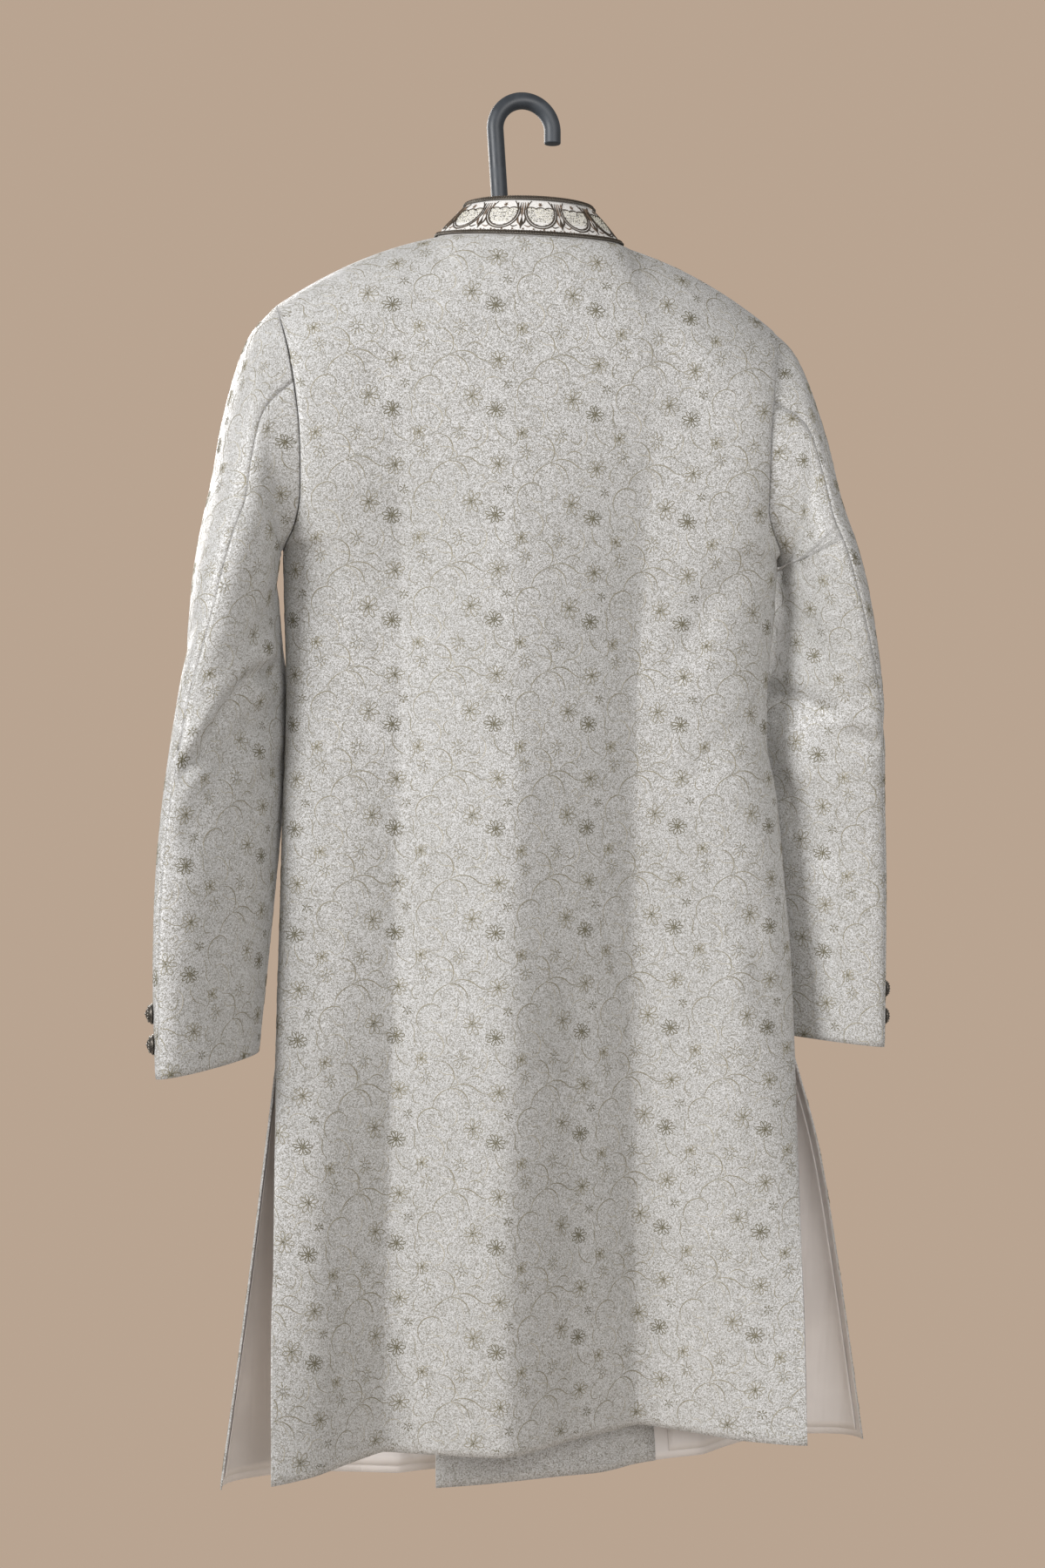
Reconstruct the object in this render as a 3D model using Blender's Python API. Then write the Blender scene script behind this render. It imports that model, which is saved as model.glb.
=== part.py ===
"""A sherwani coat hanging on a plain plastic hanger, in metres, +Z up.

The origin is the inside of the hook's crown, where the hanger rests on whatever holds it. The coat's
front faces -Y and the wearer's left is +X. Every cloth piece is a wall worked out from the tables of
sections below: the body from its half width and depth at a few heights, the sleeves from rings.
"""

from collections import namedtuple

import bmesh
import bpy
import numpy as np

# ---- cloth ------------------------------------------------------------------------------------------
CLOTH = 0.0020  # brocade with its interlining
LINING = 0.0010
COLLAR_WALL = 0.0030
SEAM_GAP = 0.0004  # between pieces sewn together
LAYER_GAP = 0.0005  # between pieces that lie on each other

# ---- heights and places on the body ------------------------------------------------------------------
COAT_X = -0.005  # the coat's middle hangs a little to the right of the hook's
NECK_HALF_WIDTH = 0.0855
NECK_SIDE_Z = -0.121
NECK_BACK_Y, NECK_BACK_DROP = 0.056, 0.007
NECK_FRONT_Y, NECK_FRONT_DROP = -0.064, 0.076
NECK_STEP = 15.0  # degrees round the neck between the columns of points that meet the collar
OVERLAP_ANGLE = 199.5  # how far round the neck each front's free edge reaches, from the middle of the back
TIP_HALF_WIDTH, TIP_Z = 0.228, -0.189
SHOULDER_BULGE = 0.009  # the shoulder seam's rise above a straight line
SHOULDER_ROLL = 0.105  # the drop over which the cloth turns from the seam to the full depth
NECK_ROLL = 0.050
UNDERARM_Z = -0.402
ARMHOLE_HALF_DEPTH = 0.052
UNDERARM_BLEND = 0.07  # height above and below the underarm over which the body opens to the armhole
SLIT_Z = -0.854
BACK_HEM_Z = -1.193
SKIRT_ROWS = 5
SIDE_ROUNDNESS = 2.25  # exponent of the curve from the back round to the side seam

# Half widths out to the left and right side seams (above the underarm, to the armholes), and the depth
# of the back, of the front and of the seam where they meet.
Body = namedtuple("Body", "z left right y_back y_front y_side")
BODY = [
    Body(-0.120, 0.2285, 0.2275, 0.0630, -0.0660, 0.000),
    Body(-0.189, 0.2290, 0.2275, 0.0660, -0.0680, 0.000),
    Body(-0.245, 0.2210, 0.2170, 0.0670, -0.0700, 0.000),
    Body(-0.310, 0.2140, 0.2115, 0.0670, -0.0710, 0.000),
    Body(-0.360, 0.2125, 0.2130, 0.0665, -0.0710, 0.000),
    Body(-0.385, 0.2160, 0.2240, 0.0660, -0.0710, 0.000),
    Body(-0.402, 0.2220, 0.2345, 0.0660, -0.0705, 0.000),
    Body(-0.450, 0.2210, 0.2315, 0.0650, -0.0690, 0.000),
    Body(-0.524, 0.2195, 0.2240, 0.0640, -0.0670, 0.002),
    Body(-0.570, 0.2205, 0.2230, 0.0640, -0.0670, 0.004),
    Body(-0.615, 0.2225, 0.2310, 0.0640, -0.0670, 0.006),
    Body(-0.685, 0.2250, 0.2370, 0.0640, -0.0670, 0.010),
    Body(-0.780, 0.2290, 0.2420, 0.0640, -0.0670, 0.020),
    Body(-0.854, 0.2320, 0.2425, 0.0645, -0.0670, 0.028),
]

# The free side edges below the slits, x being positive at the wearer's left.
Edge = namedtuple("Edge", "z x y")
SIDE_EDGES = {
    ("back", "left"): [
        Edge(-0.854, 0.232, 0.028),
        Edge(-1.020, 0.238, 0.062),
        Edge(-1.193, 0.243, 0.097),
    ],
    ("back", "right"): [
        Edge(-0.854, -0.2425, 0.028),
        Edge(-1.020, -0.2370, 0.062),
        Edge(-1.193, -0.2300, 0.097),
    ],
    ("front", "left"): [
        Edge(-0.854, 0.232, 0.028),
        Edge(-0.940, 0.242, 0.022),
        Edge(-1.050, 0.255, 0.014),
        Edge(-1.222, 0.278, 0.007),
    ],
    ("front", "right"): [
        Edge(-0.854, -0.2425, 0.028),
        Edge(-0.940, -0.269, 0.022),
        Edge(-1.050, -0.292, 0.012),
        Edge(-1.222, -0.321, 0.002),
    ],
}

# Long folds. A fold sinks into the panel along its line, and its two flanks end at left and right of it.
Fold = namedtuple("Fold", "panel x_top x_waist x_hem z_start depth_waist depth_hem flank_left flank_right")
FOLDS = [
    Fold("back", 0.129, 0.124, 0.138, -0.17, 0.023, 0.048, 0.105, 0.100),
    Fold("back", -0.103, -0.091, -0.102, -0.20, 0.026, 0.070, 0.140, 0.122),
    Fold("front_left", 0.128, 0.122, 0.112, -0.33, 0.004, 0.016, 0.080, 0.070),
    Fold("front_right", -0.120, -0.130, -0.170, -0.33, 0.005, 0.022, 0.075, 0.085),
]
FOLD_SHARPNESS = 0.045  # share of a flank over which the bottom of a fold is rounded
FOLD_POWER = 1.35
FOLD_GROWTH = 0.7  # below 1, a fold deepens quickly under its start
WAIST_Z = -0.524

# The fronts' free edges and the hem under them. The underlap is the right front.
FREE_EDGE_HEM_LEFT, FREE_EDGE_HEM_RIGHT = -0.031, 0.080
FRONT_HEM_SIDE_Z, FRONT_HEM_MIDDLE_Z = -1.222, -1.242
UNDERLAP_INSET_HEM = 0.048  # how far the underlap hangs inside the outer front at the hem
UNDERLAP_REACH_TOP = (0.34, 0.10)  # share of the half width where it starts to pass inside, and is inside
UNDERLAP_REACH_HEM = (0.75, 0.08)  # the same for the hem's swing

# ---- sleeves -----------------------------------------------------------------------------------------
# A ring's plane is vertical at the armhole (tilt 90) and level lower down (tilt 0). out is its half size
# away from the body, along its half size from front to back, and turn swings the back edge outwards.
Ring = namedtuple("Ring", "x y z tilt out along turn")
LEFT_RINGS = [
    Ring(0.2412, 0.001, -0.3150, 82, 0.0950, 0.0550, 0),
    Ring(0.2507, 0.001, -0.3455, 70, 0.0670, 0.0600, -2),
    Ring(0.2545, 0.001, -0.3750, 48, 0.0450, 0.0650, -5),
    Ring(0.2590, 0.002, -0.3960, 24, 0.0370, 0.0700, -9),
    Ring(0.2630, 0.003, -0.4300, 8, 0.0360, 0.0740, -15),
    Ring(0.2640, 0.003, -0.4800, 0, 0.0345, 0.0780, -24),
    Ring(0.2645, 0.005, -0.5400, 0, 0.0325, 0.0800, -36),
    Ring(0.2745, 0.019, -0.6200, 0, 0.0310, 0.0780, -41),
    Ring(0.2820, 0.030, -0.6900, 0, 0.0280, 0.0760, -43),
    Ring(0.2878, 0.041, -0.7700, 0, 0.0245, 0.0720, -43),
    Ring(0.2913, 0.0495, -0.8460, -5, 0.0200, 0.0690, -41),
]
RIGHT_RINGS = [
    Ring(0.2440, 0.001, -0.3106, 87, 0.0985, 0.0550, 0),
    Ring(0.2562, 0.001, -0.3420, 76, 0.0690, 0.0600, 0),
    Ring(0.2640, 0.001, -0.3758, 54, 0.0415, 0.0660, -2),
    Ring(0.2690, 0.000, -0.3960, 24, 0.0325, 0.0720, -5),
    Ring(0.2735, -0.002, -0.4270, 5, 0.0335, 0.0750, -10),
    Ring(0.2758, -0.006, -0.4800, 0, 0.0325, 0.0780, -20),
    Ring(0.2715, -0.012, -0.5400, 0, 0.0325, 0.0800, -36),
    Ring(0.2720, -0.014, -0.6200, 0, 0.0310, 0.0780, -41),
    Ring(0.2745, -0.014, -0.6900, 0, 0.0280, 0.0760, -43),
    Ring(0.2770, -0.011, -0.7700, 0, 0.0245, 0.0720, -43),
    Ring(0.2785, -0.0065, -0.8460, -5, 0.0200, 0.0690, -41),
]
# The sleeve's two seams, in degrees round the ring from its outermost point towards the back.
# At the armhole they are whole steps, so that the sleeve's points meet the body's.
ARMHOLE_STEPS = 10
SEAM_ANGLE_ARMHOLE, SEAM_ANGLE_ELBOW = 72.0, 91.0
FOREARM_ANGLE_ARMHOLE, FOREARM_ANGLE_WRIST = 234.0, 269.0

# ---- collar ------------------------------------------------------------------------------------------
COLLAR_HEIGHT_BACK, COLLAR_HEIGHT_SIDE = 0.0360, 0.0305
COLLAR_LEAN_X, COLLAR_LEAN_Y = 0.67, 0.80  # the top edge's size as a share of the base's
COLLAR_LIFT = 0.0010  # of the collar's base over the neckline
COLLAR_END_ANGLE = 173.0  # where each end stands, in degrees from the middle of the back
COLLAR_END_HEIGHT = 0.55  # share of the height left at the very end
COLLAR_END_ROUND = 22.0  # degrees over which the top edge comes down to the end
CORD_RADIUS = 0.0021

# ---- buttons -----------------------------------------------------------------------------------------
BUTTON_RADIUS, BUTTON_HEIGHT = 0.0088, 0.0062
CUFF_BUTTON_Z = (-0.7976, -0.8226)
CUFF_BUTTON_ANGLE = 64.0  # round the cuff, as the seams are
FRONT_BUTTONS = 7
FRONT_BUTTON_TOP_Z, FRONT_BUTTON_BOTTOM_Z = -0.225, -0.790

# ---- hanger ------------------------------------------------------------------------------------------
HOOK_RADIUS = 0.0075  # of the tube
HOOK_BEND = 0.0265  # of the tube's centreline round the crown
HOOK_SHORT_LEG = 0.011
HOOK_LEG_X, HOOK_LEG_Z = 0.0225, -0.0800
HANGER_TOP_Z = -0.147
HANGER_CLEAR = 0.006  # between the arms and the cloth over them
HOOK_CLEAR = 0.0006  # between the hook's foot and the arms
Arm = namedtuple("Arm", "x half_depth half_height")
HANGER_ARMS = [
    Arm(0.000, 0.0110, 0.0110),
    Arm(0.040, 0.0100, 0.0090),
    Arm(0.090, 0.0120, 0.0080),
    Arm(0.150, 0.0150, 0.0070),
    Arm(0.195, 0.0160, 0.0060),
    Arm(0.212, 0.0120, 0.0045),
]

BROCADE = ("brocade", (0.62, 0.58, 0.51), 0.5, 0.0)
SATIN = ("satin_lining", (0.74, 0.69, 0.64), 0.4, 0.0)
EMBROIDERY = ("embroidered_collar", (0.62, 0.57, 0.50), 0.6, 0.0)
METAL_CORD = ("metallic_cord", (0.20, 0.16, 0.12), 0.45, 0.4)
ANTIQUE_METAL = ("antique_metal", (0.16, 0.14, 0.12), 0.4, 0.7)
DARK_PLASTIC = ("dark_plastic", (0.05, 0.06, 0.07), 0.45, 0.0)


# ---- reading the tables ------------------------------------------------------------------------------
def column(table, name, at, key="z"):
    """A column of a table at any height, on a smooth curve through the rows that never overshoots."""
    rows = sorted(table, key=lambda row: getattr(row, key))
    x = np.array([getattr(row, key) for row in rows], float)
    y = np.array([getattr(row, name) for row in rows], float)
    width = np.diff(x)
    slope = np.diff(y) / width
    tangent = np.concatenate([slope[:1], np.zeros(len(x) - 2), slope[-1:]])
    turning = slope[:-1] * slope[1:] > 0
    a, b = 2 * width[1:] + width[:-1], width[1:] + 2 * width[:-1]
    with np.errstate(divide="ignore", invalid="ignore"):
        mean = (a + b) / (a / slope[:-1] + b / slope[1:])
    tangent[1:-1] = np.where(turning, mean, 0.0)
    at = np.clip(np.asarray(at, float), x[0], x[-1])
    i = np.clip(np.searchsorted(x, at) - 1, 0, len(x) - 2)
    t = (at - x[i]) / width[i]
    return (
        y[i] * (1 + 2 * t) * (1 - t) ** 2
        + tangent[i] * width[i] * t * (1 - t) ** 2
        + y[i + 1] * t**2 * (3 - 2 * t)
        + tangent[i + 1] * width[i] * t**2 * (t - 1)
    )


def smooth_step(x, start, end):
    t = np.clip((x - start) / (end - start), 0.0, 1.0)
    return t * t * (3 - 2 * t)


# ---- the body's surface ------------------------------------------------------------------------------
def neck_share(x):
    """How far round the neckline x lies: 1 at the middle of the back or front, 0 at the shoulder seam."""
    return np.sqrt(np.clip(1 - (x / NECK_HALF_WIDTH) ** 2, 0, 1))


def top_of(x, front):
    """Height and depth of a panel's upper edge over x: neckline, then shoulder seam."""
    c = neck_share(x)
    over = np.clip((np.abs(x) - NECK_HALF_WIDTH) / (TIP_HALF_WIDTH - NECK_HALF_WIDTH), 0, 1)
    seam_z = NECK_SIDE_Z + (TIP_Z - NECK_SIDE_Z) * over + 4 * SHOULDER_BULGE * over * (1 - over)
    if front:
        neck_z, neck_y = NECK_SIDE_Z - NECK_FRONT_DROP * c**1.2, NECK_FRONT_Y * c
    else:
        neck_z, neck_y = NECK_SIDE_Z - NECK_BACK_DROP * c, NECK_BACK_Y * c
    in_neck = np.abs(x) < NECK_HALF_WIDTH
    return np.where(in_neck, neck_z, seam_z), np.where(in_neck, neck_y, 0.0)


def edge_depth(z, side):
    """Depth of the seam or armhole at the body's side: the armhole's curve above the underarm."""
    middle, half = (TIP_Z + UNDERARM_Z) / 2, (TIP_Z - UNDERARM_Z) / 2
    up = np.clip((z - middle) / half, -1, 0)
    curve = side * ARMHOLE_HALF_DEPTH * np.sqrt(1 - up**2)
    return np.where(z > UNDERARM_Z, curve, column(BODY, "y_side", z))


def fold_depth(panel, x, z, hem_z):
    """How far the panel's long folds sink into it."""
    depth = np.zeros_like(x)
    for f in FOLDS:
        if f.panel != panel:
            continue
        low = np.clip((WAIST_Z - z) / (WAIST_Z - hem_z), 0, 1)
        high = np.clip((z - WAIST_Z) / (f.z_start - WAIST_Z), 0, 1)
        line = np.where(
            z < WAIST_Z,
            f.x_waist + (f.x_hem - f.x_waist) * low**1.5,
            f.x_waist + (f.x_top - f.x_waist) * high,
        )
        grown = np.where(
            z < WAIST_Z,
            f.depth_waist + (f.depth_hem - f.depth_waist) * low,
            f.depth_waist * smooth_step(z, f.z_start, WAIST_Z) ** FOLD_GROWTH,
        )
        flank = np.where(x > line, f.flank_left, f.flank_right)
        t = np.sqrt(((x - line) / flank) ** 2 + FOLD_SHARPNESS**2)
        depth += grown * np.clip(1 - t, 0, 1) ** FOLD_POWER
    return depth


def body_point(panel, x_share, z):
    """A point of a panel's outer face: x_share is -1 at the right side edge and 1 at the left one."""
    front = panel != "back"
    side = -1.0 if front else 1.0
    below = z < SLIT_Z
    x_edge, y_edge = {}, {}
    for hand, sign in (("left", 1), ("right", -1)):
        edge = SIDE_EDGES["front" if front else "back", hand]
        x_edge[hand] = np.where(below, column(edge, "x", z), sign * column(BODY, hand, z))
        y_edge[hand] = np.where(below, column(edge, "y", z), edge_depth(z, side))
    x = (x_edge["left"] + x_edge["right"] + (x_edge["left"] - x_edge["right"]) * x_share) / 2
    y_edge = np.where(x_share > 0, y_edge["left"], y_edge["right"])
    y_full = column(BODY, "y_front" if front else "y_back", z)
    share = np.abs(x_share)
    low, high = UNDERARM_Z - UNDERARM_BLEND, UNDERARM_Z + UNDERARM_BLEND
    by_underarm = (z > low) & (z <= (TIP_Z + UNDERARM_Z) / 2)
    opened = side * ARMHOLE_HALF_DEPTH * smooth_step(z, low, high)
    y_near = np.where(by_underarm, opened, y_edge)
    round_over = (1 - np.clip(share, 0, 1) ** SIDE_ROUNDNESS) ** (1 / SIDE_ROUNDNESS)
    hem_z = BACK_HEM_Z if not front else FRONT_HEM_SIDE_Z
    loose = smooth_step(z, SLIT_Z, hem_z) * (0.0 if front else 1.0)
    flared = 1 - share**2.2
    y = y_near + (y_full - y_near) * (round_over * (1 - loose) + flared * loose)
    y += (y_edge - y_near) * share**12
    y -= side * fold_depth(panel, x, z, hem_z) * (1 - share**8)
    top_z, top_y = top_of(x, front)
    in_neck = smooth_step(np.abs(x), NECK_HALF_WIDTH * 1.3, NECK_HALF_WIDTH * 0.6)
    roll = SHOULDER_ROLL + (NECK_ROLL - SHOULDER_ROLL) * in_neck
    drop = np.clip((top_z - z) / roll, 0, 1)
    y = top_y + (y - top_y) * np.sqrt(1 - (1 - drop) ** 2)
    if panel == "front_right":
        hang = np.clip((SLIT_Z + 0.12 - z) / (SLIT_Z + 0.12 - FRONT_HEM_MIDDLE_Z), 0, 1) ** 1.3
        y += smooth_step(-x_share, *UNDERLAP_REACH_TOP) * (CLOTH + 2 * LAYER_GAP)
        y += smooth_step(-x_share, *UNDERLAP_REACH_HEM) * UNDERLAP_INSET_HEM * hang
    return np.stack([x, y + side * SEAM_GAP / 2, z + 0 * x], axis=-1)


def hem_height(panel, x_share):
    if panel == "back":
        return BACK_HEM_Z + 0 * x_share
    return FRONT_HEM_MIDDLE_Z + (FRONT_HEM_SIDE_Z - FRONT_HEM_MIDDLE_Z) * np.abs(x_share) ** 1.5


def free_edge_share(panel, z):
    """Where a front's free edge lies, as a share of the half width."""
    sign = -1.0 if panel == "front_left" else 1.0
    hem = FREE_EDGE_HEM_LEFT if panel == "front_left" else FREE_EDGE_HEM_RIGHT
    hang = smooth_step(z, WAIST_Z, FRONT_HEM_MIDDLE_Z)
    top = sign * NECK_HALF_WIDTH * np.sin(np.radians(OVERLAP_ANGLE - 180))
    return (top * (1 - hang) + hem * hang) / TIP_HALF_WIDTH


def panel_grid(panel, side_columns, skirt_rows, waist_rows, top_rows):
    """Rows of points over a panel, hem first, with columns that meet the collar's at the neckline."""
    neck = NECK_HALF_WIDTH / TIP_HALF_WIDTH
    outer = neck + (1 - neck) * np.sin(np.linspace(0, np.pi / 2, side_columns + 1))
    if panel == "back":
        middle = neck * np.sin(np.radians(np.arange(-90 + NECK_STEP, 90, NECK_STEP)))
        shares = np.concatenate([-outer[::-1], middle, outer])
    else:
        past_middle = [OVERLAP_ANGLE, 180 + NECK_STEP, 360 - COLLAR_END_ANGLE, COLLAR_END_ANGLE]
        round_neck = np.append(past_middle, np.arange(180 - NECK_STEP, 90, -NECK_STEP))
        shares = np.concatenate([neck * np.sin(np.radians(round_neck)), outer])
    if panel == "front_right":
        shares = -shares[::-1]
    x_top = shares * TIP_HALF_WIDTH
    top_z, _ = top_of(x_top, panel != "back")
    hem_z = hem_height(panel, shares)
    rows = [hem_z + (SLIT_Z - hem_z) * a for a in np.linspace(0, 1, skirt_rows + 1)[:-1]]
    rows += [np.full_like(shares, z) for z in np.linspace(SLIT_Z, UNDERARM_Z, waist_rows + 1)[:-1]]
    rising = (1 - np.cos(np.linspace(0, np.pi, top_rows + 1))) / 2
    rows += [UNDERARM_Z + (top_z - UNDERARM_Z) * a for a in rising]
    z = np.array(rows)
    x_share = np.repeat(shares[None, :], len(rows), axis=0)
    if panel != "back":
        sign = 1.0 if panel == "front_left" else -1.0
        free = 0 if sign > 0 else -1
        start = free_edge_share(panel, z[:, [free]])
        old = shares[free]
        keep = (np.abs(x_share - old) / np.abs(sign - old)).clip(0, 1)
        x_share = start + (sign - start) * keep
        over_top = smooth_step(z, UNDERARM_Z - 0.1, UNDERARM_Z)
        x_share = x_share * (1 - over_top) + shares[None, :] * over_top
    return body_point(panel, x_share, z)


# ---- sleeves -----------------------------------------------------------------------------------------
def armhole_point(angle, hand, gap):
    """A point of the armhole's loop, from the shoulder tip over the back to the underarm and the front."""
    middle, half = (TIP_Z + UNDERARM_Z) / 2, (TIP_Z - UNDERARM_Z) / 2
    z = middle + half * np.cos(angle)
    x = column(BODY, hand, z)
    return np.stack([x + gap, ARMHOLE_HALF_DEPTH * np.sin(angle), z], axis=-1)


def ring_point(ring, angle):
    tilt, turn = np.radians(ring.tilt), np.radians(ring.turn)
    out = ring.out * np.cos(angle) * np.cos(turn) - ring.along * np.sin(angle) * np.sin(turn)
    back = ring.out * np.cos(angle) * np.sin(turn) + ring.along * np.sin(angle) * np.cos(turn)
    return np.stack(
        [ring.x + out * np.cos(tilt), ring.y + back, ring.z + out * np.sin(tilt)],
        axis=-1,
    )


def through(points, at):
    """A smooth curve through points (rings first axis), spaced by the square root of their distance."""
    gap = np.sqrt(np.linalg.norm(np.diff(points, axis=0), axis=-1)).mean(axis=1)
    knots = np.concatenate([[0], np.cumsum(gap)])
    slope = np.diff(points, axis=0) / gap[:, None, None]
    weight = (gap[:-1] / (gap[:-1] + gap[1:]))[:, None, None]
    inner = slope[:-1] * (1 - weight) + slope[1:] * weight
    tangent = np.concatenate([slope[:1], inner, slope[-1:]])
    s = at * knots[-1]
    i = np.clip(np.searchsorted(knots, s, side="right") - 1, 0, len(gap) - 1)
    t = ((s - knots[i]) / gap[i])[:, None, None]
    h = gap[i][:, None, None]
    return (
        points[i] * (1 + 2 * t) * (1 - t) ** 2
        + tangent[i] * h * t * (1 - t) ** 2
        + points[i + 1] * t**2 * (3 - 2 * t)
        + tangent[i + 1] * h * t**2 * (t - 1)
    )


def sleeve_angles(rows, top_columns, under_columns):
    """The angle of each column at each ring: the top sleeve's columns and then the under sleeve's."""
    down = np.linspace(0, 1, rows)[:, None]
    blend = smooth_step(down, 0.0, 0.45)
    elbow = SEAM_ANGLE_ARMHOLE + (SEAM_ANGLE_ELBOW - SEAM_ANGLE_ARMHOLE) * blend
    forearm = FOREARM_ANGLE_ARMHOLE + (FOREARM_ANGLE_WRIST - FOREARM_ANGLE_ARMHOLE) * blend
    over = np.linspace(0, 1, top_columns + 1)[None, :]
    under = np.linspace(0, 1, under_columns + 1)[None, :]
    top = forearm - 360 + (elbow - forearm + 360) * over
    low = elbow + (forearm - elbow) * under
    return np.radians(top), np.radians(low)


def sleeve_grid(rings, angles, rows, side):
    """Rows of points down a sleeve, armhole first, for columns of angles that change row by row."""
    at = np.linspace(0, 1, rows) ** 1.15
    fine = np.radians(np.arange(-180.0, 541.0, 5.0))
    hand = "left" if side > 0 else "right"
    loops = [armhole_point(fine, hand, 2 * SEAM_GAP)] + [ring_point(ring, fine) for ring in rings]
    tube = through(np.array(loops), at)
    grid = np.stack(
        [
            np.stack([np.interp(angles[r], fine, tube[r, :, k]) for k in range(3)], axis=-1)
            for r in range(rows)
        ]
    )
    return grid * [side, 1, 1]


# ---- collar ------------------------------------------------------------------------------------------
def neck_ring(angle, share_x, share_y):
    """The neckline, by the angle from the middle of the back, shrunk about the neck's middle."""
    c = np.cos(angle)
    back = c > 0
    middle_y = (NECK_BACK_Y + NECK_FRONT_Y) / 2
    y = np.where(back, NECK_BACK_Y, -NECK_FRONT_Y) * c
    drop = np.where(back, NECK_BACK_DROP * np.abs(c), NECK_FRONT_DROP * np.abs(c) ** 1.2)
    x = NECK_HALF_WIDTH * np.sin(angle) * share_x
    return np.stack([x, middle_y + (y - middle_y) * share_y, NECK_SIDE_Z - drop], axis=-1)


def collar_point(angle, up):
    """A point of the collar's outer face, up from 0 at its base to 1 at its top edge."""
    to_end = (np.radians(COLLAR_END_ANGLE) - np.abs(angle)) / np.radians(COLLAR_END_ROUND)
    full = COLLAR_END_HEIGHT + (1 - COLLAR_END_HEIGHT) * np.sqrt(1 - (1 - np.clip(to_end, 0, 1)) ** 2)
    rise = up * full
    point = neck_ring(angle, 1 + (COLLAR_LEAN_X - 1) * rise, 1 + (COLLAR_LEAN_Y - 1) * rise)
    height = COLLAR_HEIGHT_SIDE + (COLLAR_HEIGHT_BACK - COLLAR_HEIGHT_SIDE) * np.clip(np.cos(angle), 0, 1)
    point[..., 2] += COLLAR_LIFT + height * rise
    return point


def collar_angles():
    half = np.append(np.arange(0, COLLAR_END_ANGLE - 1, NECK_STEP), COLLAR_END_ANGLE)
    return np.radians(np.concatenate([-half[:0:-1], half]))


def collar_grid(rows):
    return collar_point(*np.meshgrid(collar_angles(), np.linspace(0, 1, rows + 1)))


# ---- walls and tubes ---------------------------------------------------------------------------------
def grid_normals(grid, facing, closed=False):
    """Unit outward normals of a grid of points; facing is -1 where rows x columns wind inwards."""
    down = np.gradient(grid, axis=0)
    if closed:
        across = np.roll(grid, -1, axis=1) - np.roll(grid, 1, axis=1)
    else:
        across = np.gradient(grid, axis=1)
    normal = np.cross(across, down)
    return facing * normal / np.linalg.norm(normal, axis=-1, keepdims=True)


def without(normals, axis, rows=slice(None), columns=slice(None)):
    """Takes one axis out of the normals of an edge, so that its rim is square to that axis."""
    part = normals[rows, columns].copy()
    part[..., axis] = 0
    normals[rows, columns] = part / np.linalg.norm(part, axis=-1, keepdims=True)


def add_mesh(name, verts, faces, material):
    """A named object; everything but the hanger moves over to the coat's own middle."""
    mesh = bpy.data.meshes.new(name)
    shift = 0.0 if name.startswith("hanger") else COAT_X
    mesh.from_pydata([(x + shift, y, z) for x, y, z in verts], [], faces)
    bm = bmesh.new()
    bm.from_mesh(mesh)
    bmesh.ops.recalc_face_normals(bm, faces=bm.faces)
    bm.to_mesh(mesh)
    bm.free()
    for polygon in mesh.polygons:
        polygon.use_smooth = True
    mesh.set_sharp_from_angle(angle=np.radians(40))
    obj = bpy.data.objects.new(name, mesh)
    bpy.context.scene.collection.objects.link(obj)
    mesh.materials.append(material_of(*material))
    return obj


def material_of(name, color, roughness, metallic):
    material = bpy.data.materials.get(name) or bpy.data.materials.new(name)
    material.use_nodes = True
    shader = material.node_tree.nodes["Principled BSDF"]
    shader.inputs["Base Color"].default_value = (*color, 1.0)
    shader.inputs["Roughness"].default_value = roughness
    shader.inputs["Metallic"].default_value = metallic
    return material


def add_wall(name, outer, inner, material):
    """A closed wall between two grids of the same size."""
    rows, columns = outer.shape[:2]
    verts = np.concatenate([outer.reshape(-1, 3), inner.reshape(-1, 3)])
    index = np.arange(rows * columns).reshape(rows, columns)
    under = index + rows * columns
    faces = []
    for r in range(rows - 1):
        for c in range(columns - 1):
            faces.append((index[r, c], index[r, c + 1], index[r + 1, c + 1], index[r + 1, c]))
            faces.append((under[r, c], under[r + 1, c], under[r + 1, c + 1], under[r, c + 1]))
    loop = [(r, 0) for r in range(rows)] + [(rows - 1, c) for c in range(1, columns)]
    loop += [(r, columns - 1) for r in range(rows - 2, -1, -1)] + [(0, c) for c in range(columns - 2, 0, -1)]
    for a, b in zip(loop, loop[1:] + loop[:1]):
        faces.append((index[a], index[b], under[b], under[a]))
    return add_mesh(name, verts, [tuple(int(i) for i in f) for f in faces], material)


def add_tube(name, rings, material):
    """A closed tube through rings of points, with a flat cap at each end."""
    count, sides = rings.shape[:2]
    faces = [tuple(range(sides)), tuple(range((count - 1) * sides, count * sides))]
    for r in range(count - 1):
        for s in range(sides):
            a, b = r * sides + s, r * sides + (s + 1) % sides
            faces.append((a, b, b + sides, a + sides))
    return add_mesh(name, rings.reshape(-1, 3), faces, material)


def swept(path, half_widths, half_heights, sides, level):
    """Rings round a path; level is the direction that each ring's width keeps to."""
    tangent = np.gradient(path, axis=0)
    tangent /= np.linalg.norm(tangent, axis=-1, keepdims=True)
    wide = level - (tangent @ level)[:, None] * tangent
    wide /= np.linalg.norm(wide, axis=-1, keepdims=True)
    high = np.cross(tangent, wide)
    turn = np.linspace(0, 2 * np.pi, sides, endpoint=False)
    return (
        path[:, None]
        + wide[:, None] * np.cos(turn)[None, :, None] * half_widths[:, None, None]
        + high[:, None] * np.sin(turn)[None, :, None] * half_heights[:, None, None]
    )


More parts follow.
